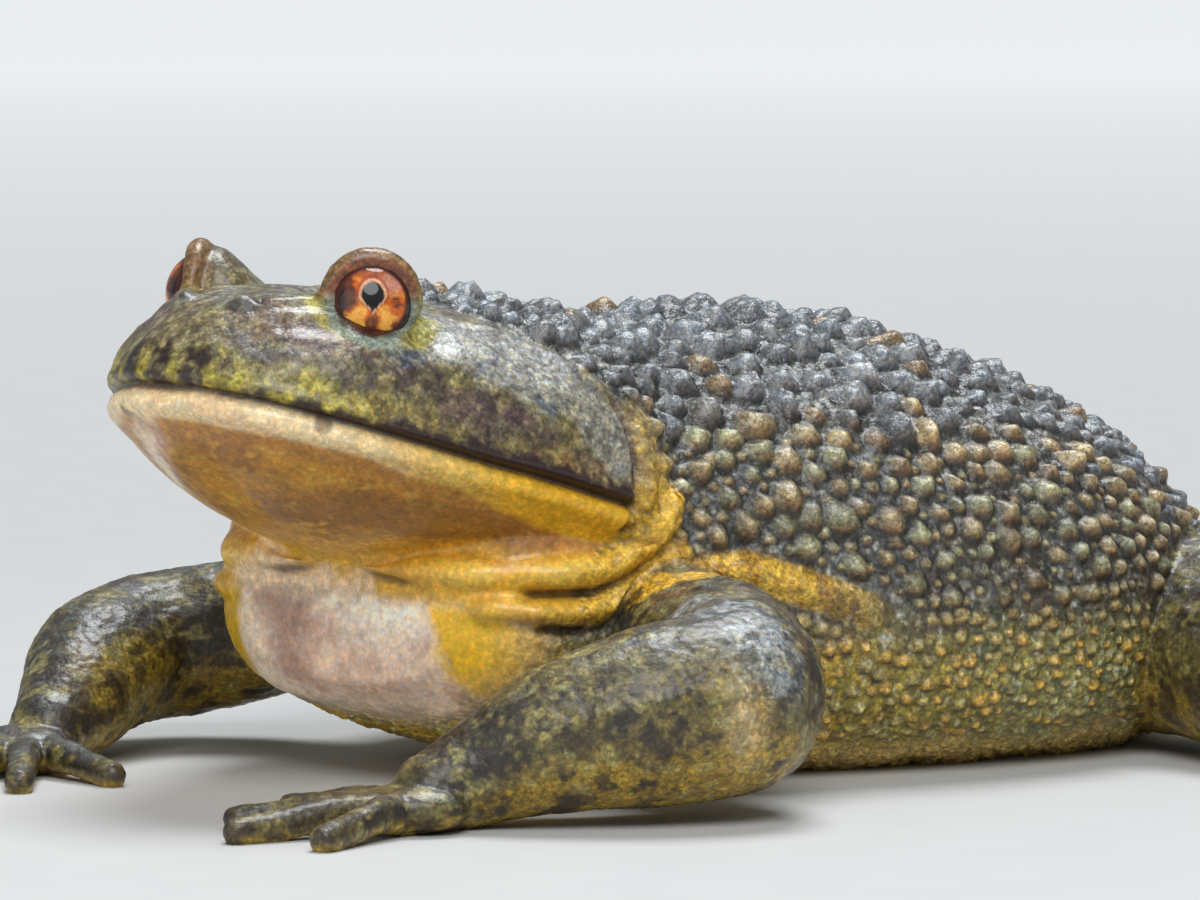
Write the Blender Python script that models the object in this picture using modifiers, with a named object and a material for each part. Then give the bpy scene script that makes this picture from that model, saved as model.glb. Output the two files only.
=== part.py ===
"""Chilean giant frog (helmeted water toad), a still life-size model sitting with its chest raised.

Metres, +Z up, the floor at z = 0. The frog is modelled straight, nose towards -Y and its left side
towards +X, with the nose at y = 0. Its head and shoulders are then turned to its left, and the whole
model is centred on its own box. Lengths in the tables below are millimetres.
"""

import math
import random

import bmesh
import bpy
import numpy as np
from mathutils import Matrix, Vector
from mathutils.bvhtree import BVHTree

MM = 0.001

# Overall sizes
SNOUT_VENT = 220.0
HEAD_TURN = math.radians(13.0)
TURN_FRONT = 55.0
TURN_BACK = 150.0
GAP = 0.3
VOXEL = 1.0
SMOOTH_STEPS = 3
FLESH_TRIANGLES = 8600
RING_POINTS = 40
SECTION_STEP = 4.0
FLOOR_SNAP = 0.25

# Head sections from nose to nape: y, half width, top, mouth line or widest height, bottom
HEAD_SECTIONS = (
    (2.0, 7.0, 74.0, 70.2, 67.0),
    (4.5, 13.5, 77.5, 69.2, 62.5),
    (9.0, 20.0, 81.3, 67.5, 58.0),
    (17.0, 27.0, 84.4, 65.0, 52.0),
    (28.0, 33.3, 85.4, 61.0, 45.0),
    (42.0, 38.5, 84.2, 56.4, 39.0),
    (56.0, 42.8, 82.6, 51.8, 34.5),
    (66.0, 45.4, 81.4, 48.5, 31.5),
    (74.0, 45.6, 80.0, 46.5, 31.0),
    (82.0, 41.0, 77.0, 46.5, 34.0),
    (90.0, 33.0, 71.0, 48.0, 40.0),
)
HEAD_TOP_POWER = 2.4
HEAD_LOW_POWER = 1.9

# Torso sections from chest to vent, in the same columns
TORSO_SECTIONS = (
    (43.0, 24.0, 46.0, 31.0, 18.0),
    (47.0, 33.0, 58.0, 31.0, 14.0),
    (55.0, 39.0, 69.0, 33.0, 10.5),
    (66.0, 43.0, 76.0, 35.0, 6.5),
    (80.0, 47.0, 77.5, 36.0, 2.5),
    (96.0, 52.0, 76.0, 36.0, -1.0),
    (115.0, 57.0, 76.5, 34.0, -3.0),
    (135.0, 60.5, 76.0, 31.0, -3.5),
    (155.0, 61.5, 72.5, 29.0, -3.5),
    (175.0, 59.0, 66.5, 27.0, -3.5),
    (192.0, 52.0, 59.0, 26.0, -3.0),
    (206.0, 39.0, 50.0, 25.0, 0.0),
    (215.0, 24.0, 41.0, 24.0, 8.0),
    (SNOUT_VENT, 8.0, 31.0, 23.0, 16.0),
)
TORSO_TOP_POWER = 2.1
TORSO_LOW_POWER = 2.8

# Eyes: the bulge of skin, the ball set in it along its gaze, and the lids round the opening
EYE_BULGE = (17.6, 32.6, 82.5)
EYE_BULGE_RADIUS = 8.8
EYE_RADIUS = 7.6
EYE_FORWARD = 2.3
GAZE_OUT = math.radians(50.0)
GAZE_UP = math.radians(8.0)
LID_RING = 7.3
LID_FORWARD = 5.0
UPPER_LID = (-15.0, 195.0, 1.7)
LOWER_LID = (185.0, 355.0, 1.0)
LID_STEPS = 8
LID_END = 0.55

# Nostrils: how far out and back, and the size of the dent
NOSTRIL = (6.5, 16.0, 1.4)

# Limbs, as (x, y, z, radius) along each bone, with x measured outwards
LEFT_ARM = (
    (36.0, 80.0, 27.0, 13.0),
    (52.0, 76.0, 24.0, 14.0),
    (67.0, 70.0, 22.0, 15.0),
    (75.0, 60.0, 19.5, 15.5),
    (70.0, 46.0, 17.5, 15.0),
    (60.0, 32.0, 13.5, 12.0),
    (53.0, 22.0, 8.5, 8.5),
    (50.0, 16.0, 6.0, 7.0),
)
RIGHT_ARM = (
    (36.0, 80.0, 27.0, 12.0),
    (48.0, 77.0, 23.0, 12.0),
    (60.0, 71.0, 19.5, 12.5),
    (68.0, 60.0, 17.0, 13.0),
    (66.0, 48.0, 15.0, 12.5),
    (60.0, 36.0, 10.0, 10.0),
    (56.0, 27.0, 6.5, 7.0),
)
THIGH_LINE = (
    (24.0, 194.0, 22.0, 18.5),
    (48.0, 197.0, 19.5, 17.5),
    (72.0, 195.0, 15.5, 15.0),
    (92.0, 190.0, 12.0, 11.0),
)
SHANK_LINE = (
    (97.0, 194.0, 12.0, 10.5),
    (94.0, 211.0, 12.0, 11.5),
    (78.0, 225.5, 11.5, 11.5),
    (57.0, 234.0, 9.5, 9.0),
    (36.0, 241.0, 7.0, 6.4),
)
SOLE_LINE = (
    (33.0, 243.0, 6.3, 6.0),
    (39.0, 253.0, 5.2, 5.2),
    (54.0, 261.0, 4.6, 6.0),
    (73.0, 264.0, 4.2, 7.2),
)
LEFT_PALM = (50.0, 12.0, 4.0)
RIGHT_PALM = (54.0, 20.0, 4.0)
PALM_RADII = (9.0, 8.5, 4.2)
FINGER_ROOT = 4.0
FINGER_ANGLES = (14.0, -18.0, -46.0, -82.0)
FINGER_LENGTHS = (24.0, 28.0, 25.0, 22.0)
FINGER_RADIUS = 2.8
TOE_ANGLES = (62.0, 80.0, 98.0, 115.0, 134.0)
TOE_LENGTHS = (24.0, 34.0, 46.0, 58.0, 46.0)
TOE_RADIUS = 2.7
DIGIT_ARCH = 3.3
DIGIT_FORM = ((0.0, 1.0, 1.25), (0.35, 1.15, 1.0), (0.7, 0.8, 0.9), (1.0, 0.55, 0.85))
WEB_THICKNESS = 1.6
WEB_FLOOR = 0.35
WEB_REACH = 0.72
WEB_BAY = 0.22

# Folds of the skin on the left side: height (below 0 for a groove), half width, points along it
FOLDS = (
    (-1.8, 3.2, ((44.0, 66.0, 44.0), (45.0, 69.0, 56.0), (42.5, 68.5, 63.0), (39.0, 66.5, 69.0),
                 (32.0, 60.0, 75.0), (26.0, 53.0, 79.0))),
    (1.9, 2.8, ((0.0, 43.0, 39.0), (14.0, 43.5, 37.5), (28.0, 46.0, 36.5), (38.0, 56.0, 36.5),
                (43.0, 66.0, 38.5), (46.0, 75.0, 42.5), (47.0, 82.0, 48.0))),
    (-1.2, 1.8, ((0.0, 44.0, 35.5), (20.0, 45.0, 34.5), (34.0, 50.5, 33.3), (40.0, 58.5, 33.3),
                 (44.5, 67.0, 35.0), (47.5, 75.0, 39.0), (48.0, 84.0, 44.0))),
    (1.6, 2.4, ((31.0, 48.0, 31.0), (38.0, 54.0, 30.5), (42.5, 62.0, 30.0), (46.5, 69.0, 32.0),
                (48.5, 76.0, 36.0), (49.0, 86.0, 40.5))),
    (1.8, 3.0, ((48.0, 72.0, 35.0), (49.0, 81.0, 37.5), (51.0, 90.0, 37.5), (54.5, 102.0, 34.0),
                (57.0, 112.0, 31.0), (60.0, 122.0, 27.0))),
    (-1.6, 2.4, ((50.0, 88.0, 33.5), (54.0, 98.0, 30.5), (57.0, 108.0, 27.0), (60.0, 118.0, 23.0))),
)

# Warts: rows across the back, each a low dome
WART_FRONT = 70.0
WART_BACK = 212.0
WART_SPACING = 8.8
WART_SPREAD = math.radians(106.0)
WART_AXIS_HEIGHT = 34.0
WART_RADIUS = 4.5
WART_HEIGHT = 2.6
WART_JITTER = 0.2
WART_ROW_PITCH = 0.87
WART_SIZES = (0.85, 1.12)
WART_FADE = 0.3
WART_SEED = 11

# Where warts stop: the nape (back, height) and its slope, and low skin (from, to, height) along the body
NAPE = (72.0, 82.0)
NAPE_SLOPE = 0.35
BARE_SKIN = ((0.0, 94.0, 42.0), (94.0, 202.0, 15.0), (202.0, SNOUT_VENT, 38.0))

# The line of the mouth at the skin: the radius of the groove, and how far back it runs
LIP_GROOVE = 0.75
LIP_STEPS = 44
MOUTH_CORNER = 69.0

# Colours, as linear red, green and blue
SKIN_COLOURS = {
    "head": (0.16, 0.13, 0.05),
    "lower_jaw": (0.60, 0.38, 0.10),
    "torso": (0.11, 0.11, 0.08),
    "limb": (0.12, 0.12, 0.06),
    "eye": (0.55, 0.16, 0.03),
}


def clear_scene():
    for old in list(bpy.data.objects):
        bpy.data.objects.remove(old, do_unlink=True)


def collection(name):
    made = bpy.data.collections.new(name)
    bpy.context.scene.collection.children.link(made)
    return made


def link(mesh, name, home):
    obj = bpy.data.objects.new(name, mesh)
    home.objects.link(obj)
    return obj


def from_bmesh(bm, name, home):
    bmesh.ops.recalc_face_normals(bm, faces=bm.faces)
    mesh = bpy.data.meshes.new(name)
    bm.to_mesh(mesh)
    bm.free()
    return link(mesh, name, home)


def evaluated_copy(obj, name, home):
    """A mesh object that holds what obj's modifiers or curve settings make; obj is removed."""
    bpy.context.view_layer.update()
    graph = bpy.context.evaluated_depsgraph_get()
    mesh = bpy.data.meshes.new_from_object(obj.evaluated_get(graph), depsgraph=graph)
    mesh.transform(obj.matrix_world)
    bpy.data.objects.remove(obj, do_unlink=True)
    return link(mesh, name, home)


def read_points(mesh):
    points = np.empty(len(mesh.vertices) * 3)
    mesh.vertices.foreach_get("co", points)
    return points.reshape(-1, 3)


def write_points(mesh, points):
    mesh.vertices.foreach_set("co", points.astype(np.float32).ravel())
    mesh.update()


def read_normals(mesh):
    normals = np.empty(len(mesh.vertices) * 3)
    mesh.vertex_normals.foreach_get("vector", normals)
    return normals.reshape(-1, 3)


# Flesh forms

def section_ring(section, top_power, low_power):
    """Points round one cross-section, wide at its mouth line, as a superellipse above and below."""
    y, half_width, top, middle, bottom = section
    ring = []
    for i in range(RING_POINTS):
        turn = 2 * math.pi * i / RING_POINTS
        across, up = math.cos(turn), math.sin(turn)
        power = top_power if up >= 0 else low_power
        reach = top - middle if up >= 0 else middle - bottom
        x = half_width * math.copysign(abs(across) ** (2 / power), across)
        z = middle + reach * math.copysign(abs(up) ** (2 / power), up)
        ring.append(Vector((x, y, z)) * MM)
    return ring


def smooth_sections(sections, step):
    """The table read at steps along y, through a smooth curve in each column."""
    table = np.array(sections)
    stations = table[:, 0]
    even = np.linspace(stations[0], stations[-1], round((stations[-1] - stations[0]) / step) + 1)
    wanted = np.unique(np.concatenate([even, stations]))
    columns = [wanted]
    for column in table[:, 1:].T:
        slope = np.gradient(column, stations)
        columns.append(hermite(wanted, stations, column, slope))
    return np.array(columns).T


def hermite(wanted, stations, values, slope):
    """A cubic through the values with the given slopes."""
    index = np.clip(np.searchsorted(stations, wanted) - 1, 0, len(stations) - 2)
    width = stations[index + 1] - stations[index]
    t = (wanted - stations[index]) / width
    return (
        (2 * t**3 - 3 * t**2 + 1) * values[index]
        + (t**3 - 2 * t**2 + t) * width * slope[index]
        + (3 * t**2 - 2 * t**3) * values[index + 1]
        + (t**3 - t**2) * width * slope[index + 1]
    )


def loft(name, sections, top_power, low_power, home):
    """A closed body through the sections."""
    bm = bmesh.new()
    rings = []
    for section in smooth_sections(sections, SECTION_STEP):
        ring = section_ring(section, top_power, low_power)
        rings.append([bm.verts.new(point) for point in ring])
    for first, second in zip(rings, rings[1:]):
        for i in range(RING_POINTS):
            j = (i + 1) % RING_POINTS
            bm.faces.new((first[i], first[j], second[j], second[i]))
    bm.faces.new(rings[0])
    bm.faces.new(list(reversed(rings[-1])))
    return from_bmesh(bm, name, home)


def tube(name, line, home):
    """A tapered tube with round ends along (x, y, z, radius) points."""
    curve = bpy.data.curves.new(name, "CURVE")
    curve.dimensions = "3D"
    curve.bevel_depth = MM
    curve.bevel_resolution = 4
    curve.use_fill_caps = True
    curve.resolution_u = 6
    spline = curve.splines.new("BEZIER")
    spline.bezier_points.add(len(line) - 1)
    for point, (x, y, z, radius) in zip(spline.bezier_points, line):
        point.co = Vector((x, y, z)) * MM
        point.radius = radius
        point.handle_left_type = "AUTO"
        point.handle_right_type = "AUTO"
    obj = link(curve, name, home)
    made = evaluated_copy(obj, name, home)
    bm = bmesh.new()
    bm.from_mesh(made.data)
    bmesh.ops.remove_doubles(bm, verts=bm.verts, dist=0.01 * MM)
    bm.to_mesh(made.data)
    bm.free()
    for number, (x, y, z, radius) in enumerate((line[0], line[-1])):
        ball(f"{name}_end_{number}", (x, y, z), (radius,) * 3, home)
    return made


def ball(name, centre, radii, home):
    """An ellipsoid."""
    bm = bmesh.new()
    bmesh.ops.create_uvsphere(bm, u_segments=20, v_segments=12, radius=1.0)
    place = (
        Matrix.Translation(Vector(centre) * MM)
        @ Matrix.Diagonal((*(r * MM for r in radii), 1.0))
    )
    bmesh.ops.transform(bm, matrix=place, verts=bm.verts)
    return from_bmesh(bm, name, home)


def along(angle):
    """The unit direction on the floor that is this many degrees from forwards, towards the left."""
    turn = math.radians(angle)
    return math.sin(turn), -math.cos(turn)


def digit_line(root, angle, length, radius):
    """A finger or toe from its root, arched a little and thinner to its round tip."""
    x, y = along(angle)
    line = []
    for share, lift, thick in DIGIT_FORM:
        reach = length * share
        line.append((root[0] + x * reach, root[1] + y * reach, DIGIT_ARCH * lift, radius * thick))
    return line


def web(name, root, tips, home):
    """A thin skin between toes, a fan from the root to part of the way along each, as one closed sheet."""
    bm = bmesh.new()
    heel = Vector((*root, WEB_FLOOR))
    ends = [Vector((*tip, WEB_FLOOR)) for tip in tips]
    outline = [heel]
    for first, second in zip(ends, ends[1:]):
        outline += [first, ((first + second) / 2).lerp(heel, WEB_BAY)]
    outline.append(ends[-1])
    rise = Vector((0.0, 0.0, WEB_THICKNESS))
    lower = [bm.verts.new(point * MM) for point in outline]
    upper = [bm.verts.new((point + rise) * MM) for point in outline]
    count = len(outline)
    for i in range(1, count - 1):
        bm.faces.new((lower[0], lower[i + 1], lower[i]))
        bm.faces.new((upper[0], upper[i], upper[i + 1]))
    for i in range(count):
        j = (i + 1) % count
        bm.faces.new((lower[i], lower[j], upper[j], upper[i]))
    return from_bmesh(bm, name, home)


def hand(palm, home):
    ball("palm", palm, PALM_RADII, home)
    for number, (angle, length) in enumerate(zip(FINGER_ANGLES, FINGER_LENGTHS)):
        x, y = along(angle)
        root = (palm[0] + x * FINGER_ROOT, palm[1] + y * FINGER_ROOT)
        tube(f"finger_{number}", digit_line(root, angle, length, FINGER_RADIUS), home)


def foot(home):
    tube("sole", SOLE_LINE, home)
    root = SOLE_LINE[-1][:2]
    tips = []
    for number, (angle, length) in enumerate(zip(TOE_ANGLES, TOE_LENGTHS)):
        x, y = along(angle)
        tube(f"toe_{number}", digit_line(root, angle, length, TOE_RADIUS), home)
        reach = length * WEB_REACH
        tips.append((root[0] + x * reach, root[1] + y * reach))
    web("web", root, tips, home)


def limbs(home):
    """Both arms and legs. The right ones are made on the left and mirrored."""
    for side, arm, palm in ((1, LEFT_ARM, LEFT_PALM), (-1, RIGHT_ARM, RIGHT_PALM)):
        made = collection("limbs_of_a_side")
        tube("arm", arm, made)
        hand(palm, made)
        tube("thigh", THIGH_LINE, made)
        tube("shank", SHANK_LINE, made)
        foot(made)
        for obj in list(made.objects):
            made.objects.unlink(obj)
            home.objects.link(obj)
            if side < 0:
                obj.data.transform(Matrix.Diagonal((-1.0, 1.0, 1.0, 1.0)))
                obj.data.flip_normals()
        bpy.data.collections.remove(made)


def eye_parts(side):
    """Where the skin bulge and the eyeball are, and the way the eye looks. side is 1 on the left."""
    bulge = Vector((side * EYE_BULGE[0], EYE_BULGE[1], EYE_BULGE[2]))
    gaze = Vector((
        side * math.sin(GAZE_OUT) * math.cos(GAZE_UP),
        -math.cos(GAZE_OUT) * math.cos(GAZE_UP),
        math.sin(GAZE_UP),
    ))
    return bulge, bulge + gaze * EYE_FORWARD, gaze


def lid(name, side, start, end, thickness, home):
    """A bar of skin round part of the eye's opening, thinner at its ends."""
    bulge, _, gaze = eye_parts(side)
    across = gaze.cross(Vector((0.0, 0.0, 1.0))).normalized()
    above = across.cross(gaze)
    middle = bulge + gaze * LID_FORWARD
    line = []
    for step in range(LID_STEPS + 1):
        share = step / LID_STEPS
        turn = math.radians(start + (end - start) * share)
        place = middle + (across * math.cos(turn) + above * math.sin(turn)) * LID_RING
        line.append((*place, thickness * (LID_END + (1 - LID_END) * math.sin(math.pi * share))))
    tube(name, line, home)


def eye_bulges(home):
    for side in (1, -1):
        bulge, _, _ = eye_parts(side)
        ball(f"eye_bulge_{side}", bulge, (EYE_BULGE_RADIUS,) * 3, home)
        lid(f"upper_lid_{side}", side, *UPPER_LID, home)
        lid(f"lower_lid_{side}", side, *LOWER_LID, home)


def flesh(home):
    """The whole frog but its eyeballs, as one skin."""
    pieces = collection("flesh_pieces")
    loft("head_form", HEAD_SECTIONS, HEAD_TOP_POWER, HEAD_LOW_POWER, pieces)
    loft("torso_form", TORSO_SECTIONS, TORSO_TOP_POWER, TORSO_LOW_POWER, pieces)
    eye_bulges(pieces)
    limbs(pieces)
    bm = bmesh.new()
    for obj in list(pieces.objects):
        bm.from_mesh(obj.data)
        bpy.data.objects.remove(obj, do_unlink=True)
    bpy.data.collections.remove(pieces)
    mesh = bpy.data.meshes.new("flesh")
    bm.to_mesh(mesh)
    bm.free()
    body = link(mesh, "flesh", home)
    remesh = body.modifiers.new("One skin", "REMESH")
    remesh.mode = "VOXEL"
    remesh.voxel_size = VOXEL * MM
    smooth = body.modifiers.new("Soft joins", "SMOOTH")
    smooth.factor = 0.5
    smooth.iterations = SMOOTH_STEPS
    return evaluated_copy(body, "flesh", home)


# Warts

def wart_centres(tree):
    """Wart places on the skin, in jittered rows round the back: (point, radius, height)."""
    draw = random.Random(WART_SEED)
    stations, widths, tops = np.array(TORSO_SECTIONS)[:, :3].T
    warts = []
    rows = round((WART_BACK - WART_FRONT) / (WART_SPACING * WART_ROW_PITCH))
    for row in range(rows + 1):
        y = WART_FRONT + (WART_BACK - WART_FRONT) * row / rows
        width = np.interp(y, stations, widths)
        height = np.interp(y, stations, tops) - WART_AXIS_HEIGHT
        count = max(3, round(WART_SPREAD * (width + height) / WART_SPACING))
        for place in range(count):
            jitter = draw.uniform(-WART_JITTER, WART_JITTER)
            share = (place + (0.75 if row % 2 else 0.25) + jitter) / count
            turn = (2 * share - 1) * WART_SPREAD
            away = y + draw.uniform(-WART_JITTER, WART_JITTER) * WART_SPACING
            size = draw.uniform(*WART_SIZES) * (1.0 - WART_FADE * (turn / WART_SPREAD) ** 2)
            start = Vector((0.0, away, WART_AXIS_HEIGHT)) * MM
            ray = Vector((math.sin(turn) * width, 0.0, math.cos(turn) * height)).normalized()
            point, _, _, _ = tree.ray_cast(start, ray)
            if point is None or off_limits(point / MM):
                continue
            warts.append((np.array(point), WART_RADIUS * size * MM, WART_HEIGHT * size * MM))
    return warts


def off_limits(point):
    """True on the head, over the arm, low on the flank, and where the thigh grows."""
    _, y, z = point
    if y < NAPE[0] + (NAPE[1] - z) * NAPE_SLOPE:
        return True
    return any(z < height and near <= y < far for near, far, height in BARE_SKIN)


def nearness(points, line, reach):
    """1 on the line and 0 beyond its reach, for each point, smoothly between."""
    nearest = np.full(len(points), np.inf)
    for start, end in zip(np.array(line), np.array(line)[1:]):
        run = end - start
        share = np.clip((points - start) @ run / (run @ run), 0.0, 1.0)
        away = np.linalg.norm(points - start - share[:, None] * run, axis=1)
        nearest = np.minimum(nearest, away)
    return np.clip(1.0 - (nearest / reach) ** 2, 0.0, 1.0) ** 2


def raise_folds(body):
    points = read_points(body.data) / MM
    sided = points.copy()
    sided[:, 0] = np.abs(sided[:, 0])
    lift = np.zeros(len(points))
    for height, half_width, line in FOLDS:
        lift += height * nearness(sided, line, half_width)
    normals = read_normals(body.data)
    write_points(body.data, (points + normals * lift[:, None]) * MM)


def raise_warts(body):
    tree = BVHTree.FromPolygons(
        [v.co for v in body.data.vertices], [p.vertices for p in body.data.polygons]
    )
    points = read_points(body.data)
    normals = read_normals(body.data)
    lift = np.zeros(len(points))
    for centre, radius, height in wart_centres(tree):
        near = np.abs(points - centre).max(axis=1) < radius
        away = np.linalg.norm(points[near] - centre, axis=1) / radius
        dome = height * np.clip(1 - away**2, 0, 1) ** 0.8
        lift[near] = np.maximum(lift[near], dome)
    write_points(body.data, points + normals * lift[:, None])


def rest_on_floor(body):
    """Belly, hands and feet end in flats at one level."""
    points = read_points(body.data)
    points[points[:, 2] < FLOOR_SNAP * MM, 2] = 0.0
    write_points(body.data, points)


def thin_out(body, triangles, home):
    body.data.calc_loop_triangles()
    decimate = body.modifiers.new("Fewer faces", "DECIMATE")
    decimate.ratio = triangles / len(body.data.loop_triangles)
    decimate.use_collapse_triangulate = True
    thinned = evaluated_copy(body, "flesh", home)
    rest_on_floor(thinned)
    return thinned


# Parting

def slab(name, centre, normal, size, home):
    """A thin plate that cuts a limb across: centre, the way it faces, and how wide it is."""
    bm = bmesh.new()
    bmesh.ops.create_cube(bm, size=1.0)
    place = (
        Matrix.Translation(Vector(centre) * MM)
        @ Vector(normal).to_track_quat("Z", "Y").to_matrix().to_4x4()
        @ Matrix.Diagonal((size * MM, size * MM, GAP * MM, 1.0))
    )
    bmesh.ops.transform(bm, matrix=place, verts=bm.verts)
    return from_bmesh(bm, name, home)


def sheet(name, profile, half_width, home):
    """A thin sheet across the body: (y, z) points swept from side to side, turned with the head."""
    bm = bmesh.new()
    middle = []
    for (y, z), (next_y, next_z) in zip(profile, profile[1:]):
        for step in range(SHEET_FILL):
            share = step / SHEET_FILL
            middle.append(Vector((0.0, y + (next_y - y) * share, z + (next_z - z) * share)))
    middle.append(Vector((0.0, *profile[-1])))
    outline = []
    lower = []
    for i, point in enumerate(middle):
        ahead = middle[min(i + 1, len(middle) - 1)] - middle[max(i - 1, 0)]
        across = Vector((0.0, -ahead.z, ahead.y)).normalized() * GAP / 2
        outline.append(point + across)
        lower.append(point - across)
    outline += reversed(lower)
    rings = []
    for step in range(SHEET_STEPS + 1):
        x = half_width * (2 * step / SHEET_STEPS - 1)
        rings.append([bm.verts.new(Vector((x, p.y, p.z)) * MM) for p in outline])
    count = len(outline)
    for i in range(len(middle) - 1):
        j = count - 1 - i
        for ring in (rings[0], rings[-1]):
            bm.faces.new((ring[i], ring[i + 1], ring[j - 1], ring[j]))
    for first, second in zip(rings, rings[1:]):
        for i in range(count):
            j = (i + 1) % count
            bm.faces.new((first[i], first[j], second[j], second[i]))
    obj = from_bmesh(bm, name, home)
    pose([obj])
    return obj


def cut(body, cutter, home):
    """body without the cutter, as its separate closed pieces, the largest first."""
    cutter.hide_render = True
    cutter.display_type = "WIRE"
    boolean = body.modifiers.new("Cut", "BOOLEAN")
    boolean.operation = "DIFFERENCE"
    boolean.solver = "EXACT"
    boolean.object = cutter
    whole = evaluated_copy(body, body.name, home)
    bpy.data.objects.remove(cutter, do_unlink=True)
    pieces = loose_pieces(whole.data)
    name = whole.name
    bpy.data.objects.remove(whole, do_unlink=True)
    return [link(mesh, name, home) for mesh in pieces]


def loose_pieces(mesh):
    """Each closed surface of the mesh as a mesh of its own, the largest first."""
    bm = bmesh.new()
    bm.from_mesh(mesh)
    bm.verts.ensure_lookup_table()
    label = [-1] * len(bm.verts)
    groups = []
    for seed in bm.verts:
        if label[seed.index] >= 0:
            continue
        label[seed.index] = len(groups)
        found, frontier = [seed], [seed]
        while frontier:
            vertex = frontier.pop()
            for edge in vertex.link_edges:
                other = edge.other_vert(vertex)
                if label[other.index] < 0:
                    label[other.index] = len(groups)
                    found.append(other)
                    frontier.append(other)
        groups.append(found)
    meshes = []
    for found in groups:
        new = bmesh.new()
        twin = {v: new.verts.new(v.co) for v in found}
        for face in {f for v in found for f in v.link_faces}:
            new.faces.new([twin[v] for v in face.verts])
        volume = new.calc_volume()
        piece = bpy.data.meshes.new("piece")
        new.to_mesh(piece)
        new.free()
        meshes.append((volume, piece))
    bm.free()
    meshes.sort(key=lambda pair: -pair[0])
    return [piece for _, piece in meshes]


def middle_of(obj):
    points = read_points(obj.data)
    return (points.min(axis=0) + points.max(axis=0)) / 2 / MM


def part_limb(body, name, centre, normal, size, home):
    """Cuts a limb off with a slab. The limb lies on the side that the slab faces. Returns (body, limb)."""
    centre, ahead = turned(np.array([centre, np.add(centre, normal)]))
    facing = ahead - centre
    pieces = cut(body, slab(f"{name}_slab", centre, facing, size, home), home)
    ranked = sorted(pieces[:2], key=lambda piece: (middle_of(piece) - centre) @ facing)
    for scrap in pieces[2:]:
        bpy.data.objects.remove(scrap, do_unlink=True)
    body, limb = ranked
    limb.name = name
    return body, limb


# Where each limb is cut: the part beyond the cut, the middle of the cut, the way that part lies, the width
LEFT_ARM_CUTS = (
    ("upper_arm", (56.0, 76.0, 23.0), (0.93, -0.25, -0.2), 42.0),
    ("forearm", (74.0, 59.0, 19.0), (-0.12, -0.95, -0.2), 48.0),
    ("hand", (55.5, 25.5, 9.5), (-0.53, -0.76, -0.38), 30.0),
)
RIGHT_ARM_CUTS = (
    ("upper_arm", (53.0, 75.5, 21.5), (0.93, -0.3, -0.2), 38.0),
    ("forearm", (66.0, 58.5, 16.5), (-0.12, -0.95, -0.2), 40.0),
    ("hand", (58.0, 31.0, 8.0), (-0.42, -0.85, -0.3), 28.0),
)
LEG_CUTS = (
    ("thigh", (66.0, 195.5, 16.5), (0.99, 0.0, -0.12), 40.0),
    ("shank", (94.8, 198.8, 11.5), (0.52, 0.85, 0.0), 35.0),
    ("foot", (40.0, 254.0, 5.2), (0.8, 0.6, -0.05), 16.0),
)


def part_limbs(body, home):
    """Cuts each arm and leg off the torso, then at elbow, wrist, knee and ankle."""
    parts = []
    for side, word, arm_cuts in ((1, "left", LEFT_ARM_CUTS), (-1, "right", RIGHT_ARM_CUTS)):
        for cuts in (arm_cuts, LEG_CUTS):
            inner = body
            limb = []
            for name, (x, y, z), (across, along_y, up), size in cuts:
                inner, outer = part_limb(
                    inner, f"{name}_{word}", (side * x, y, z), (side * across, along_y, up), size, home
                )
                if limb:
                    limb[-1] = inner
                else:
                    body = inner
                limb.append(outer)
                inner = outer
            for (name, *_), obj in zip(cuts, limb):
                obj.name = f"{name}_{word}"
            parts += limb
    return body, parts


# The cut behind the cheeks and under the throat, and the line of the mouth, as (y, z)
NECK_PROFILE = (
    (56.0, 104.0),
    (68.0, 84.0),
    (71.0, 66.0),
    (71.5, 50.0),
    (68.0, 41.0),
    (58.0, 34.5),
    (46.0, 33.5),
    (26.0, 33.0),
)
MOUTH_PROFILE = (
    (-6.0, 72.5),
    (3.0, 69.6),
    (16.0, 65.0),
    (42.0, 56.4),
    (70.0, 48.0),
    (92.0, 45.5),
)
SHEET_STEPS = 14
SHEET_FILL = 2


def mouth_height(y):
    table = np.array(MOUTH_PROFILE)
    return float(np.interp(y, table[:, 0], table[:, 1]))


def lip_groove(head, home):
    """A tube that follows the line of the mouth on the skin, to be cut out of it."""
    tree = BVHTree.FromPolygons(
        [v.co for v in head.data.vertices], [p.vertices for p in head.data.polygons]
    )
    middle = Vector((0.0, MOUTH_CORNER, 0.0))
    line = []
    for step in range(LIP_STEPS + 1):
        across, back = along(180.0 * step / LIP_STEPS - 90.0)
        y = MOUTH_CORNER
        for _ in range(6):
            height = mouth_height(y)
            start, ahead = turned(np.array([
                (middle.x, middle.y, height), (middle.x + across, middle.y + back, height)
            ]))
            hit, _, _, distance = tree.ray_cast(Vector(start) * MM, Vector(ahead - start))
            y = middle.y + back * distance / MM
        radius = LIP_GROOVE * min(1.0, 0.4 + 0.25 * min(step, LIP_STEPS - step))
        line.append((*(hit / MM), radius))
    groove = tube("lip_groove", line, home)
    for end in [obj for obj in home.objects if obj.name.startswith("lip_groove_end")]:
        bpy.data.objects.remove(end, do_unlink=True)
    return groove


def nostril(head, side, home):
    """A small dent where a nostril opens."""
    tree = BVHTree.FromPolygons(
        [v.co for v in head.data.vertices], [p.vertices for p in head.data.polygons]
    )
    x, y, radius = NOSTRIL
    above = turned(np.array([(side * x, y, 120.0)]))[0]
    hit, _, _, _ = tree.ray_cast(Vector(above) * MM, Vector((0.0, 0.0, -1.0)))
    return ball(f"nostril_{side}", hit / MM, (radius, radius * 0.8, radius), home)


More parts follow.
